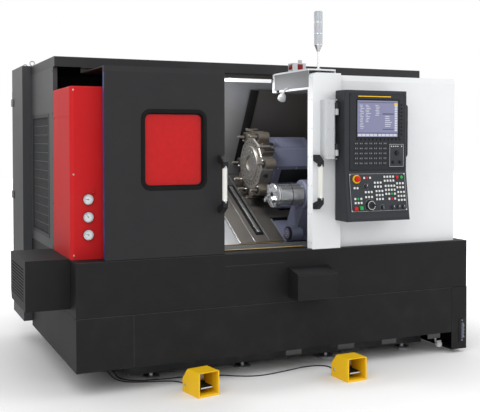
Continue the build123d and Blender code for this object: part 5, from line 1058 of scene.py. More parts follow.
@dataclass
class PedalCable(Trim):
    """A pedal's cable, run over the floor to its gland in the base.

    The route holds the points that the cable's curve is drawn toward.
    """

    name: str
    stands_for: str
    exit_point: Spot
    lead_point: Spot
    route: tuple[Spot, ...]
    diameter: float = 8
    sleeve: float = 24
    ribs: int = 5

    def build(self) -> None:
        """Draw the cable and its strain relief."""
        data = bpy.data.curves.new(self.name, "CURVE")
        data.dimensions = "3D"
        data.bevel_depth = self.diameter / 2 * MM
        data.bevel_resolution = 3
        data.use_fill_caps = True
        line = data.splines.new("NURBS")
        path = (self.exit_point, self.lead_point, *self.route)
        line.points.add(len(path) - 1)
        for knot, point in zip(line.points, path):
            knot.co = (*self.bench.spot(*point), 1)
        line.order_u = 3
        line.use_endpoint_u = True
        line.resolution_u = 8
        data.materials.append(self.bench.shop.material(RUBBER))
        cable = bpy.data.objects.new(self.name, data)
        bpy.context.scene.collection.objects.link(cable)
        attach(cable, self.body)
        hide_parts(self.stands_for)
        self.relief()
        tuple(self.bench.spot(*self.exit_point))

    def relief(self) -> None:
        """Draw the ribbed sleeve that tapers onto the cable where it leaves the pedal."""
        start, lead = Vector(self.exit_point), Vector(self.lead_point)
        radius = self.diameter / 2
        profile = [(-2, radius - 0.4), (-2, radius + 1.8), (2, radius + 1.8)]
        for rib in range(self.ribs):
            base = 3 + rib * (self.sleeve - 4) / self.ribs
            lip = radius + 1.8 - 0.25 * rib
            profile += [(base, lip - 0.8), (base + 1, lip), (base + 2.4, lip), (base + 3, lip - 0.8)]
        profile += [(self.sleeve, radius + 0.3), (self.sleeve, radius - 0.4)]
        with self.piece(self.name + "_relief", RUBBER) as draft:
            draft.turned(profile, start, lead - start, 20)


CABLES = (
    ("left_pedal_cable", "pedal_cable_left", (742.05, -44.16, 6), (730.99, 12.78, 6), (
        (734, 82, 4), (704, 138, 4), (644, 170, 4), (576, 188, 4), (508, 208, 4), (440, 232, 4), (380, 270, 4),
        (346, 332, 4), (334, 398, 6), (325, 461, 24), (325, 519, 24))),
    ("right_pedal_cable", "pedal_cable_right", (1802.31, -129.12, 6), (1798.27, -71.26, 6), (
        (1822, -4, 4), (1820, 62, 4), (1768, 102, 4), (1696, 112, 4), (1622, 104, 4), (1534, 78, 4),
        (1442, 58, 4), (1352, 41, 4), (1270, 34, 4), (1190, 52, 4), (1112, 96, 4), (1034, 152, 4),
        (950, 188, 4), (862, 204, 4), (772, 214, 4), (686, 219, 4), (600, 228, 4), (520, 240, 4),
        (450, 264, 4), (400, 312, 4), (374, 362, 4), (366, 408, 8), (362, 461, 24), (362, 519, 24))),
)


@dataclass
class Gauges(Trim):
    """Dials of the three pressure gauges on the service cover."""

    x: float = 111
    face_y: float = 129.5
    heights: tuple[float, ...] = (1014, 1127, 1240)
    radius: float = 28.6
    readings: tuple[float, ...] = (160, 125, 175)
    ticks: int = 28

    def mark(self, draft: Draft, z: float, angle: float, reach: Pair, width: float,
             lift: float) -> None:
        """Add a radial bar over a dial.

        Args:
            draft: The drawing.
            z: Height of the dial's middle.
            angle: Direction of the bar in degrees, counter-clockwise from the right.
            reach: Its inner and outer radius.
            width: Its width.
            lift: How far it stands off the dial.
        """
        ray = Vector((math.cos(math.radians(angle)), 0, math.sin(math.radians(angle))))
        side = Vector((-ray.z, 0, ray.x)) * width / 2
        middle = Vector((self.x, self.face_y - lift, z))
        inner, outer = middle + ray * reach[0], middle + ray * reach[1]
        draft.plate([inner - side, outer - side * 0.5, outer + side * 0.5, inner + side], (0, lift * 0.8, 0))

    def build(self) -> None:
        """Build dials, marks, needles, bezels and the lamp above them."""
        rim = self.radius + 0.3
        with (self.piece("gauge_dials", WHITE) as dials, self.piece("gauge_marks", BLACK) as marks,
              self.piece("gauge_needles", GASKET) as needles, self.piece("gauge_bezels", BRIGHT) as bezels):
            for z, reading in zip(self.heights, self.readings):
                middle = (self.x, self.face_y, z)
                dials.turned([(0.2, 0), (0.2, self.radius), (-0.4, self.radius), (-0.4, 0)], middle, BACK, 40)
                for step in range(self.ticks):
                    self.mark(marks, z, 225 - step * 10, (20 if step % 3 == 0 else 23, 26), 1.1, 0.7)
                self.mark(needles, z, reading, (-7, 21), 2.6, 1.4)
                needles.turned([(-1.9, 0), (-1.9, 2.6), (-0.5, 3.2), (-0.5, 0)], middle, BACK, 16)
                bezels.turned([(-4, rim), (-5.6, rim + 0.6), (-5.6, rim + 3.6), (-3.8, rim + 4.2), (-3.8, rim)],
                              middle, BACK, 48)
        with self.piece("service_lamp_lens", STOP_RED) as lamp:
            lamp.turned([(0, 0), (0, 8), (3, 7.4), (5.5, 4.5), (6.2, 0)], (146, 129, 1286), FRONT, 24)


@dataclass
class ServiceCorner(Trim):
    """Seams and fasteners of the red cover, the side panel and the coolant box."""

    grille: tuple[float, float, float, float] = (840, 1425, 950, 1780)
    border: float = 26

    def build(self) -> None:
        """Build the grille, the edge film and the screws."""
        front, back, low, high = self.grille
        middle, height, border = (front + back) / 2, (low + high) / 2, self.border
        self.screws("red_cover_screws", grid((20, 240), (140,), (885, 1400, 1935)), FRONT, 5.5, 3, BRIGHT)
        self.screws("side_panel_screws", grid((0,), (690, 1505), (880, 1180, 1490, 1800, 2095)), LEFT, 6,
                    finish=BLACK)
        self.screws("grille_screws", grid((0,), (front - 12, back + 12), (low, height, high)), LEFT, 5, 2.5,
                    BLACK)
        self.screws("coolant_box_screws", grid((-265, -15), (172,), (560, 840)), FRONT, 5, 2.5, BLACK)
        with self.piece("grille_frame", BLACK) as surround:
            surround.rim(0, -2, (front - border, low - border), (back + border, high + border), border, 3)
        self.slats("grille_bars", grid((8,), spaced(front + 8, back - 8, 60), (height,)),
                   (2, 3, high - low - 4), PANEL_GREY)
        self.slats("grille_rails", grid((7,), (middle,), spaced(low + 60, high - 60, 12)),
                   (2, back - front - 4, 5), PANEL_GREY)
        self.boxes("cover_edge_film", EDGE_BLUE, ((261, 150, 868), (264, 200, 1950), 0.6))


@dataclass
class DoorTrim(Trim):
    """Seals, screws and edges on the sliding door and its window, and the screws of both handles."""

    body: ClassVar[str] = "door"
    window: Pair = (646, 1555)
    opening: Pair = (400, 474)
    corner: float = 40
    handle_z: float = 1327
    handle_half: float = 118

    def outline(self, grow: float, y: float, steps: int = 6) -> list[Spot]:
        """Rounded rectangle round the window.

        Args:
            grow: How far it lies outside the opening.
            y: Its place along Y.
            steps: Facets of each corner.
        Returns:
            Its points.
        """
        points = []
        radius = self.corner + grow
        across, up = (size / 2 - self.corner for size in self.opening)
        for quarter, (sx, sz) in enumerate(((1, 1), (-1, 1), (-1, -1), (1, -1))):
            for step in range(steps + 1):
                angle = math.radians(90 * quarter + 90 * step / steps)
                points.append((self.window[0] + sx * across + radius * math.cos(angle), y,
                               self.window[1] + sz * up + radius * math.sin(angle)))
        return points

    def build(self) -> None:
        """Build the seals, the edge film, the handles' collars and the screws."""
        with self.piece("window_seal", GASKET) as seal:
            seal.frame(self.outline(0.5, 15), self.outline(-9, 18), (0, 4, 0))
        with self.piece("window_frame_face", GASKET) as lip:
            lip.frame(self.outline(21, -4.6), self.outline(4, -4.6), (0, 1.2, 0))
        self.boxes("door_edge_film", EDGE_BLUE, ((184.2, 8, 866), (185.6, 46, 2044), 0.3))
        for name, x, body in (("door", 965, "door"), ("post", 1680, "frame")):
            ends = [(side, self.handle_z + side * self.handle_half) for side in (-1, 1)]
            self.screws(f"{name}_handle_screws", [(x, -97, z) for _, z in ends], FRONT, 4.5, 2, BRIGHT, body)
            with self.piece(f"{name}_grip_collars", BRIGHT, body) as collars:
                for side, z in ends:
                    collars.turned([(-3, 16.6), (0, 17.4), (5, 17.4), (7, 16.4)], (x, -80, z - side * 12),
                                   (0, 0, side))
        self.screws("door_hanger_bolts", grid((348, 837), (560, 590), (2085,)), UP, 7, 4)
        self.boxes("door_foot_brush", GASKET, ((188, 2, 857.6), (997, 7, 861), 0.4))


@dataclass
class BaseTrim(Trim):
    """Tabs, painted highlights along the cover seams, screws, drain valve and sight gauge along the base."""

    plates: tuple[Pair, ...] = ((1457, 1577), (1868, 2002), (2238, 2362), (2643, 2756))
    seam_x: float = 370
    valve_x: float = 2800
    gauge_x: float = 2955

    def build(self) -> None:
        """Build the plates, the painted seam highlights and the screws, then the valve and the gauge."""
        self.boxes("cover_foot_plates", PANEL_GREY,
                   *(((left, 0.6, 131), (right, 3.4, 172), 0.5) for left, right in self.plates))
        # Thin lighter strips along the cover seams: painted highlights where the seam edges catch the light.
        seams = ((self.seam_x, 167, self.seam_x + 1.6, 504), (2, 502.4, 2858, 504.4), (1000, 775, 1440, 776.6),
                 (2, 853, 2998, 854.6))
        self.boxes("cover_seam_edges", PANEL_GREY,
                   *(((left, -0.6, low), (right, 0.4, high), 0.2) for left, low, right, high in seams))
        self.drain_valve()
        self.screws("base_cover_screws", grid(spaced(40, 2820, 9), (0,), (490,)), FRONT, 5, 2, CHARCOAL)
        self.screws("base_side_screws", grid((0,), spaced(60, 1480, 6), (490,)), LEFT, 5, 2, CHARCOAL)
        self.screws("hood_screws", grid((1482, 1770), (-150,), (552, 690)), FRONT, 5, 2.5, BLACK)
        self.sight_gauge()

    def drain_valve(self) -> None:
        """Build the drain valve that hangs beside the right end block."""
        x = self.valve_x
        with self.piece("drain_valve", LIGHT_GREY) as valve:
            valve.turned([(0, 0), (0, 20), (3, 23), (24, 23), (27, 20), (27, 14), (40, 14), (40, 0)],
                         (x, 62, 62), BACK, 28)
            valve.box((x - 18, 68, 78), (x + 18, 84, 92), 2)
        with self.piece("drain_pipe", ZINC) as pipe:
            pipe.tube([(x, 98, 62), (x, 112, 72), (x, 120, 100), (x, 120, 168)], 11)

    def sight_gauge(self) -> None:
        """Build the oil sight gauge on the right end of the base."""
        x = self.gauge_x
        self.boxes("sight_gauge_plate", BLACK, ((x - 24, -5, 85), (x + 25, 0, 258), 2))
        with self.piece("sight_gauge_tube", SLATE) as tube:
            tube.turned(disc(8, 120), (x, -8, 111), UP, 20)
        self.boxes("sight_gauge_ticks", WHITE,
                   *(((x + 11, -6, z - 1), (x + (18 if step % 3 else 23), -4.8, z + 1), 0.3)
                     for step, z in enumerate(spaced(120, 222, 12))))
        self.screws("sight_gauge_screws", grid((x,), (-5,), (96, 247)), FRONT)


@dataclass
class Display(Trim):
    """Lit screen, soft keys and keyboard of the display unit."""

    body: ClassVar[str] = "pendant"
    face_y: float = -155
    screen: tuple[float, float, float, float] = (1927, 2262, 1640, 1893)
    keyboard_right: float = 2185

    def bar(self, draft: Draft, x: float, z: float, width: float, height: float, lift: float = 0.5) -> None:
        """Add a flat bar on the screen, from fractions of its width and height.

        Args:
            draft: The drawing.
            x: Left end, as a fraction from the left.
            z: Lower edge, as a fraction from the bottom.
            width: Width as a fraction.
            height: Height as a fraction.
            lift: How far it stands off the screen, in millimetres.
        """
        left, right, low, high = self.screen
        start, end = (left + part * (right - left) for part in (x, x + width))
        under, top = (low + part * (high - low) for part in (z, z + height))
        y = self.face_y + 4.2 - lift
        draft.plate([(start, y, under), (end, y, under), (end, y, top), (start, y, top)], (0, lift * 0.7, 0))

    def build(self) -> None:
        """Build the screen, then the keys around it."""
        self.picture()
        left, right, low, high = self.screen
        y = self.face_y
        dots = grid(spaced(1925, 2275, 12), (y,), (1622,)) + grid((2289,), (y,), spaced(1659, 1866, 9))
        self.keys("soft_keys", dots, (11, 11), 3, 3.2, GASKET)
        with self.piece("screen_bezel", GASKET) as bezel:
            bezel.rim(1, y - 1.2, (left - 9, low - 9), (right + 9, high + 9), 9, 1.6, 1.8)
        self.boxes("display_strip", YELLOW, ((1932, y - 1.2, 1918), (2200, y + 0.2, 1924), 0.4))
        self.screws("display_screws", grid((1875, 2311), (y,), (1416, 1930)), FRONT, 4, 1.6, BLACK)
        self.keyboard()
        self.side_panel()

    def picture(self) -> None:
        """Build the lit picture of plain bars and boxes, with no words."""
        chance = random.Random(7)
        with self.piece("screen_ground", SCREEN_GROUND) as ground:
            self.bar(ground, 0, 0, 1, 1, 0.3)
        with self.piece("screen_rows", SCREEN_LIGHT) as rows:
            for column, x in enumerate((0.06, 0.2, 0.44)):
                for row in range(15 - 4 * column):
                    width = 0.06 + 0.05 * chance.random()
                    self.bar(rows, x + 0.01 * (row % 3), 0.86 - row * 0.045, width, 0.016)
            for row in range(6):
                self.bar(rows, 0.68, 0.56 - row * 0.055, 0.1 + 0.1 * chance.random(), 0.02, 0.9)
        with self.piece("screen_boxes", SCREEN_LIGHT) as boxes:
            for row in range(11):
                self.bar(boxes, 0.92, 0.16 + row * 0.066, 0.065, 0.05)
            for column in range(10):
                self.bar(boxes, 0.02 + column * 0.0965, 0.02, 0.083, 0.062)
        with self.piece("screen_rules", SCREEN_DARK) as dark:
            for x, z, width, height in ((0, 0.095, 1, 0.02), (0, 0.94, 1, 0.015), (0.62, 0.62, 0.28, 0.03),
                                        (0.62, 0.2, 0.28, 0.02), (0.5, 0.02, 0.012, 0.1)):
                self.bar(dark, x, z, width, height, 0.7)
        with self.piece("screen_sign", SCREEN_SIGN) as sign:
            self.bar(sign, 0.91, 0.87, 0.08, 0.075, 0.9)

    def keyboard(self) -> None:
        """Build dark caps with pale marks, two on each raised key of the CAD."""
        spots = [spot for spot in self.bench.patches("display_unit", Vector(FRONT), (20, 34))
                 if spot.x <= self.keyboard_right]
        caps = [(spot.x + shift, spot.y, spot.z) for spot in spots for shift in (-7.2, 7.2)]
        marks = [(x - 1.5, y - 2, z + 2) for x, y, z in caps]
        self.keys("keyboard_caps", caps, (11.6, 19), 2, 2.2, KEY_DARK)
        self.keys("keyboard_marks", marks, (4.5, 5), 0.8, 0.5, LIGHT_GREY)

    def side_panel(self) -> None:
        """Build the small panel beside the keyboard with a rotary switch and toggles."""
        y = self.face_y - 2
        self.boxes("side_panel_plate", DESK, ((2186, y - 1.6, 1428), (2309, y + 1, 1592), 0.8))
        with self.piece("side_panel_line", LIGHT_GREY) as line:
            line.rim(1, y - 2, (2189, 1431), (2306, 1589), 2, 0.6)
        with self.piece("side_panel_knobs", BLACK) as knobs:
            for x, z, radius in ((2248, 1528, 15), (2216, 1462, 9), (2276, 1462, 9)):
                knobs.turned([(0, 0), (0, radius + 3), (2, radius + 3), (2.5, radius), (12, radius * 0.86),
                              (13, radius * 0.7), (13, 0)], (x, y - 1.6, z), FRONT, 28)
        lamps = grid((2204, 2222, 2240, 2258, 2290), (y - 1.6,), (1574,))
        self.keys("side_panel_lamps", lamps, (9, 7), 1.5, 1, KEY_PALE)


@dataclass
class Desk(Trim):
    """Caps, dials and collars of the tilted operator panel."""

    body: ClassVar[str] = "pendant"
    middle: Spot = (2088.5, -170.02, 1253.42)
    outward: Spot = (0, -0.98999, 0.14098)
    size: Pair = (462, 268)
    stop: Pair = (0.125, 0.15)
    wheel: Pair = (0.335, 0.84)
    feed_knob: Pair = (0.55, 0.9)
    mode_knob: Pair = (0.29, 0.34)
    small_knobs: tuple[Pair, ...] = ((0.74, 0.9), (0.84, 0.9), (0.93, 0.9))
    coloured: tuple[tuple[Finish, tuple[Pair, ...]], ...] = (
        (GO_GREEN, ((0.132, 0.66), (0.734, 0.55))), (STOP_RED, ((0.312, 0.12), (0.732, 0.68))))

    @property
    def local(self) -> Matrix:
        """Matrix from the desk's own frame, with Z out of its face, to the drawing frame."""
        across, outward = Vector(RIGHT), Vector(self.outward)
        turn = Matrix((across, outward.cross(across), outward)).transposed().to_4x4()
        return Matrix.Translation(self.middle) @ turn

    def at(self, across: float, down: float) -> Pair:
        """Place on the desk.

        Args:
            across: Fraction of its width, from the left.
            down: Fraction of its height, from the top.
        Returns:
            The place in the desk's own frame.
        """
        return (across - 0.5) * self.size[0], (0.5 - down) * self.size[1]

    def build(self) -> None:
        """Build the desk's small parts."""
        self.caps()
        with self.piece("stop_collar", YELLOW, local=self.local) as collar:
            collar.turned([(5, 30.2), (13.2, 30.2), (14.2, 28.6), (14.2, 21.6), (13.9, 21.6), (5, 30)],
                          (*self.at(*self.stop), 0), UP, 48)
        across, up = (size / 2 - 3 for size in self.size)
        with self.piece("desk_border", LIGHT_GREY, local=self.local) as border:
            border.rim(2, 5.1, (-across, -up), (across, up), 1.6, 0.5)
        corners = [self.local @ Vector(spot) for spot in grid((6 - across, across - 6), (6 - up, up - 6), (5,))]
        self.screws("desk_screws", corners, self.outward, 4, 1.8, BRIGHT)
        self.dials()
        self.pointers()

    def caps(self) -> None:
        """Build caps over the CAD keys, coloured by their places, and the two power caps."""
        groups: dict[Finish, list[Vector]] = {KEY_PALE: [], GO_GREEN: [], STOP_RED: []}
        for spot in self.bench.patches("operator_panel", Vector(self.outward), (12, 18)):
            flat = self.local.inverted() @ spot
            place = (flat.x / self.size[0] + 0.5, 0.5 - flat.y / self.size[1])
            finish = next((colour for colour, places in self.coloured
                           if any(math.dist(place, known) < 0.02 for known in places)), KEY_PALE)
            groups[finish].append(spot)
        turn = math.degrees(math.atan2(-self.outward[1], self.outward[2]))
        for finish, spots in groups.items():
            self.keys(f"desk_caps_{finish.name.replace(' ', '_')}", spots, (15, 15), 2.4, 1.6, finish, turn)
        for name, place, finish in (("off", (0.84, 0.12), STOP_RED), ("on", (0.92, 0.12), GO_GREEN)):
            with self.piece(f"power_{name}_cap", finish, local=self.local) as cap:
                cap.turned([(12, 11.3), (13.6, 11.3), (14.4, 9.6), (14, 0)], (*self.at(*place), 0), UP)

    def dials(self) -> None:
        """Build the ring of marks round each knob and the wheel, as far as the desk reaches."""
        knob_marks = [[-60 + 300 * step / (count - 1) for step in range(count)] for count in (13, 9)]
        rows = ((self.feed_knob, 19, knob_marks[0]), (self.mode_knob, 19, knob_marks[1]),
                (self.wheel, 41, range(0, 360, 10)))
        with self.piece("dial_marks", WHITE, local=self.local) as marks:
            for place, radius, angles in rows:
                middle = Vector((*self.at(*place), 5))
                for angle in map(math.radians, angles):
                    ray = Vector((math.cos(angle), math.sin(angle), 0))
                    side = Vector((-ray.y, ray.x, 0)) * 0.6
                    inner, outer = middle + ray * radius, middle + ray * (radius + 3)
                    if abs(outer.y) <= self.size[1] / 2 - 4:
                        marks.plate([inner - side, outer - side, outer + side, inner + side], (0, 0, 0.5))

    def pointers(self) -> None:
        """Build the pointer lines on the knobs and the ring on the wheel."""
        spots = [self.at(*place) for place in (self.mode_knob, *self.small_knobs)]
        self.boxes("knob_pointers", WHITE, *(((x - 1.2, y - 1, 20.6), (x + 1.2, y + 12, 21.6), 0.3)
                                             for x, y in spots), local=self.local)
        x, y = self.at(*self.feed_knob)
        self.boxes("override_pointer", WHITE, ((x - 0.9, y - 10, 23.1), (x + 0.9, y + 10, 23.7), 0.2),
                   body="feed_knob", local=self.local)
        with self.piece("wheel_ring", BRIGHT, "pulse_wheel", self.local) as hoop:
            hoop.turned([(25.2, 27), (25.9, 27.3), (25.9, 29.7), (25.2, 30)], (*self.at(*self.wheel), 0),
                        UP, 48)


@dataclass
class TurretTrim(Trim):
    """Hub screws, clamp wedges, coolant nozzles and cutting tips of the turret."""

    body: ClassVar[str] = "turret"
    left: float = 1572
    stations: int = 12
    bare: tuple[int, ...] = (4, 10)

    def build(self) -> None:
        """Build the screws, then what each station with a holder carries."""
        left = self.left
        self.screws("turret_hub_screws", ring((left - 12, *TURRET), 96, 12), LEFT, 7, 4)
        self.screws("turret_face_screws", ring((left, *TURRET), 165, 24, 7.5), LEFT, 6, 2.5, BLACK)
        with (self.piece("turret_nozzles", ZINC) as nozzles, self.piece("turret_tips", ZINC) as tips,
              self.piece("turret_wedges", BLACK) as wedges):
            for station in range(self.stations):
                if station in self.bare:
                    continue
                turn = Matrix.Rotation(math.tau * station / self.stations, 4, "X")
                place = self.bench.home @ Matrix.Translation((0, *TURRET)) @ turn
                nozzles.place = tips.place = wedges.place = place
                nozzles.turned([(0, 0), (0, 7), (8, 7), (12, 4), (18, 3), (18, 0)], (left + 8, 24, 221),
                               LEFT, 16)
                if station % 2:
                    tips.box((left - 56, -3, 236), (left - 50, 9, 246), 0.8)
                    wedges.turned([(0, 0), (0, 26), (3, 28), (3, 0)], (left + 0.9, 0, 237), LEFT)
                else:
                    tips.box((left - 38, -9, 263), (left - 26, 9, 272), 0.8)
                    for edge in (-34, 14):
                        wedges.box((left + 8, edge, 254), (left + 92, edge + 20, 262), 2)


@dataclass
class Chamber(Trim):
    """Sill strips, seams, lamp and hoses inside the work chamber."""

    wall_x: float = 804
    sill: Pair = (987, 1660)

    def build(self) -> None:
        """Build the trim."""
        left, right = self.sill
        guard_at = (self.wall_x, *SPINDLE)
        self.boxes("sill_strips", BRASS, ((left, 133, 863.6), (right, 150, 865.2), 0.4),
                   ((left, 455.4, 856.6), (right, 465.6, 858), 0.4))
        self.screws("chuck_guard_screws", ring(guard_at, 140, 12, 15), RIGHT, 6)
        with self.piece("spindle_guard_ring", SHEET) as guard:
            guard.turned([(0, 120), (0, 152), (2, 154), (5, 154), (6, 152), (6, 120), (0, 120)], guard_at,
                         RIGHT, 64)
        with self.piece("spot_lamp", LIGHT_GREY) as lamp:
            lamp.turned([(0, 0), (0, 24), (10, 28), (32, 30), (38, 30), (40, 27), (40, 0)], (1620, 380, 1944),
                        (-0.5, -0.4, -0.75), 28)
            lamp.tube([(1663, 380, 1996), (1645, 380, 1992), (1628, 380, 1972), (1620, 380, 1942)], 8)
        self.boxes("end_wall_seams", PANEL_GREY,
                   *(((803.5, 480, z), (805, 1180, z + 2), 0.3) for z in (1240, 1640)))
        with self.piece("coolant_hoses", BLACK) as hoses:
            for shift in (0, 26):
                hoses.tube([(808, 640 + shift, 1700), (850, 640 + shift, 1690), (884, 632 + shift, 1640),
                            (900, 610 + shift, 1570), (905, 585 + shift, 1500)], 7)
                hoses.turned([(0, 0), (0, 9), (20, 9), (30, 4), (36, 4), (36, 0)], (905, 585 + shift, 1502),
                             (0.05, -0.33, -0.94), 16)


@dataclass
class CounterTrim(Trim):
    """Screws, rings and toothed drive of the counter spindle."""

    body: ClassVar[str] = "counter_slide"
    chuck: ClassVar[str] = "counter_chuck"
    drive: Pair = (445, 922)
    drive_x: float = 1690
    teeth: int = 30

    def build(self) -> None:
        """Build the trim."""
        self.screws("counter_face_screws", ring((1802, *SPINDLE), 98, 12), LEFT, 3.5, 2)
        with self.piece("counter_drum_rings", BLACK, self.chuck) as drum:
            for x in (1600, 1700):
                drum.turned([(0, 83), (0, 84.6), (5, 84.6), (5, 83)], (x, *SPINDLE), RIGHT, 64)
        self.screws("counter_drum_screws", ring((1565, *SPINDLE), 76, 12, 9), LEFT, 4, 2, BLACK, self.chuck)
        self.screws("drive_screws", ring((self.drive_x - 8, *self.drive), 19, 6), LEFT, 3.5, 2)
        y, z = self.drive
        corners = [(math.pi * step / self.teeth, 46 if step % 2 else 50) for step in range(2 * self.teeth)]
        with self.piece("drive_ring", BLACK) as teeth:
            teeth.plate([(self.drive_x, y + radius * math.cos(a), z + radius * math.sin(a))
                         for a, radius in corners], (18, 0, 0))
        with self.piece("drive_case", SLATE) as case:
            for profile in ([(0, 0), (0, 38), (-4, 38), (-4, 30), (-8, 26), (-8, 0)],
                            [(18, 40), (20, 48), (84, 48), (90, 44), (112, 44)]):
                case.turned(profile, (self.drive_x, y, z), RIGHT, 40)


@dataclass
class WayCoverTrim(Trim):
    """Bright wipers, bar and screws on the way covers, drawn in the slanted frame of the ways."""

    body: ClassVar[str] = "carriage"
    foot: float = -160
    corner: float = 770
    depth: float = -305
    leaves: int = 3

    def build(self) -> None:
        """Build the trim."""
        local, depth = slanted(SPINDLE), self.depth
        edges = [(1555 - leaf * 120, depth + 3.6 - leaf * 2.5) for leaf in range(self.leaves)]
        self.boxes("way_cover_wipers", BRIGHT,
                   *(((x + 0.5, self.foot + 4, height), (x + 9, self.corner - 8, height + 1.6), 0.5)
                     for x, height in edges), local=local)
        for name, finish, box in (
                ("way_cover_bar", GASKET, ((1478, -70, depth - 1.5), (1542, 600, depth + 11), 2)),
                ("way_cover_bar_top", BRIGHT, ((1496, -50, depth + 10.5), (1524, 580, depth + 14), 1.5)),
                ("back_plate_wiper", GASKET, ((1585, 758, -200), (1656, 766.4, 484), 2))):
            self.boxes(name, finish, box, local=local)
        spots = [local @ Vector(spot) for spot in grid((1700, 2620), spaced(180, 740, 6), (depth + 4,))]
        self.screws("way_cover_screws", spots, local.to_3x3() @ Vector(UP), 5, 2.5)


@dataclass
class HousingTrim(Trim):
    """Cover plates and bolts on the turret housing."""

    body: ClassVar[str] = "cross"

    def build(self) -> None:
        """Build the trim."""
        local = slanted(TURRET)
        for name, places, facing in (
                ("housing_front_screws", grid((1740, 1900, 2050), (-148,), (-100, 40)), FRONT),
                ("housing_top_screws", grid((1740, 2050), (-40, 110), (160,)), UP)):
            self.screws(name, [local @ Vector(place) for place in places], local.to_3x3() @ Vector(facing), 7)
        self.boxes("housing_cover_plate", BLACK, ((1770, -150.5, -90), (2020, -147, 30), 1.5), local=local)
        self.boxes("housing_top_plate", SLATE, ((1780, -30, 159.6), (2010, 100, 163), 1.5), local=local)


@dataclass
class PendantTrim(Trim):
    """Edge bead, vents with painted shade in them, hinge caps and fasteners of the pendant and its arm."""

    body: ClassVar[str] = "pendant"
    side: Pair = (2345, -85)
    hinge: Pair = (1805, -75)

    def build(self) -> None:
        """Build the trim."""
        x, y = self.side
        self.screws("arm_screws", grid((1735, 1770), (-95,), (1510, 1692, 1874)), FRONT, 5, 2.5, body="frame")
        self.screws("pendant_handle_screws", grid((x,), (y,), (1484, 1884)), RIGHT, 4, 1.5, BLACK)
        # Dark slats in the vent openings are painted shade.
        self.slats("pendant_vents", grid((x,), (y,), spaced(1120, 1300, 10)), (1.2, 60, 5), HOLLOW_SHADE)
        with self.piece("display_edge_bead", BLACK) as bead:
            bead.rim(1, -150.6, (1863.4, 1403.4), (2322.6, 1942.6), 1.6, 1.4)
        with self.piece("hinge_pin_caps", ZINC, "frame") as caps:
            for z, side in ((1487, -1), (1897, 1)):
                caps.turned([(-4, 0), (-4, 9), (3, 9), (5, 7), (5, 0)], (*self.hinge, z), (0, 0, side), 20)


@dataclass
class PostTrim(Trim):
    """Screws of the fixed post, the painted shade on its header and the switch window."""

    tower: Spot = (1803, 180, 2120)

    def build(self) -> None:
        """Build the trim."""
        self.screws("header_screws", grid((1662,), spaced(110, 600, 5), (2000, 2100)), LEFT, 6)
        self.screws("post_screws", grid((1662,), (14, 61), spaced(900, 1900, 6)), LEFT, 4.5, 1.8)
        # Grey sheets over the white header's inner face and underside are painted shade.
        self.boxes("header_lining", HEADER_SHADE_GREY, ((1660.4, 62, 1990), (1662.6, 600, 2108), 0.6),
                   ((1664, 80, 1973.6), (1880, 630, 1975.6), 0.6))
        self.boxes("switch_window", PLUG_RED, ((1660.6, 312, 2132), (1662.4, 368, 2168), 0.6),
                   ((1700, 298.4, 2130), (1742, 300.4, 2170), 0.6))
        with self.piece("tower_foot_ring", BLACK) as foot:
            foot.turned([(0, 27), (0, 34), (4, 33), (6, 27)], self.tower, UP, 40)
        self.screws("panel_screws", grid((1905, 2880), (51,), (880,)), FRONT, 4.5, 1.5, WHITE)


@dataclass
class PedalTrim(Trim):
    """Treads, pivot caps and switch boxes of the foot pedals."""

    places: tuple[tuple[str, float, float, float], ...] = (("left", 707, -270, 11), ("right", 1740, -349, 4))

    def build(self) -> None:
        """Build the treads and boxes."""
        for name, x, y, turn in self.places:
            local = Matrix.Translation((x, y, 0)) @ Matrix.Rotation(math.radians(turn), 4, "Z")
            treadle = f"pedal_{name}"
            with self.piece(f"{name}_treadle_studs", GASKET, treadle, local) as studs:
                for middle in grid(spaced(44, 110, 5), spaced(34, 132, 8), (57,)):
                    studs.turned([(0, 4.2), (1.4, 3.2), (1.4, 0)], middle, UP, 12)
            self.boxes(f"{name}_treadle_edge", BRIGHT, ((33.5, 24.2, 47.5), (121.5, 26, 56), 0.5), body=treadle,
                       local=local)
            with self.piece(f"{name}_pivot_caps", ZINC, local=local) as caps:
                for side, start in ((-1, 0), (1, 155)):
                    caps.turned([(0, 9), (2, 8), (2.4, 0)], (start, 160, 52), (side, 0, 0), 20)
            self.boxes(f"{name}_switch_box", LIGHT_GREY, ((30, 136, 76), (125, 190.5, 112), 2), local=local)


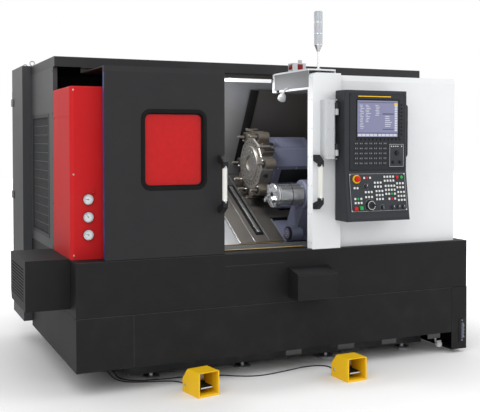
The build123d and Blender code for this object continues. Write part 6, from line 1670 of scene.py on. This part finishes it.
@dataclass
class CabinetTrim(Trim):
    """Latch, seal, fasteners and lifting eyes of the electrical cabinet."""

    left: float = -65
    right: float = 835
    back: float = 2036
    top: float = 2195

    def build(self) -> None:
        """Build the trim."""
        left, right, back, top = self.left, self.right, self.back, self.top
        self.screws("cabinet_roof_screws", grid(spaced(left + 30, right - 30, 4), (1560, 1970), (top,)), UP, 6)
        with self.piece("cabinet_lifting_eyes", ZINC) as eyes:
            for x, y, z in grid((left + 90, right - 90), (1600, 1930), (top,)):
                eyes.turned([(0, 0), (0, 18), (5, 16), (8, 8), (8, 0)], (x, y, z), UP, 24)
                angles = map(math.radians, range(-80, 261, 20))
                eyes.tube([(x + 18 * math.cos(a), y, z + 26 + 18 * math.sin(a)) for a in angles], 4.5)
        with self.piece("cabinet_latch", BRIGHT, "rear_door") as latch:
            latch.box((756, back - 1, 1290), (794, back + 5, 1430), 2)
            latch.turned([(4, 12), (11, 11), (12, 9), (12, 0)], (775, back, 1400), BACK, 24)
            latch.box((768, back + 9, 1305), (782, back + 15, 1410), 3)
        with self.piece("cabinet_door_seal", GASKET, "rear_door") as seal:
            seal.rim(1, back - 36.2, (left + 24, 224), (right - 24, 2171), 12, 2.4)
        self.screws("rear_wall_screws", grid(spaced(900, 2950, 6), (1530,), (900, 2080)), BACK, 5, 2)


@dataclass
class TowerTrim(Trim):
    """Rings between the lenses of the signal tower."""

    place: Pair = (1803, 180)
    heights: tuple[float, ...] = (2300, 2379, 2460)

    def build(self) -> None:
        """Build the rings."""
        with self.piece("tower_rings", BRIGHT) as rings:
            for z in self.heights:
                rings.turned([(0, 29.4), (0, 31.2), (4, 31.2), (4, 29.4)], (*self.place, z), UP, 40)


def main() -> None:
    """Build and dress the machine, from its studio and cables to its smallest trim."""
    logging.basicConfig(level=logging.INFO, format="%(message)s")
    shop = Paintshop()
    bench, patterns = Bench(shop), Patterns()
    Studio(bench).build()
    for cable in CABLES:
        PedalCable(bench, patterns, *cable).build()
    dress_nodes(shop)
    for trim in (Gauges, PedalTrim, TowerTrim, ServiceCorner, DoorTrim, BaseTrim, Display, Desk, TurretTrim,
                 Chamber, CounterTrim, WayCoverTrim, HousingTrim, PendantTrim, PostTrim, CabinetTrim):
        trim(bench, patterns).build()


if __name__ == "__main__":
    main()
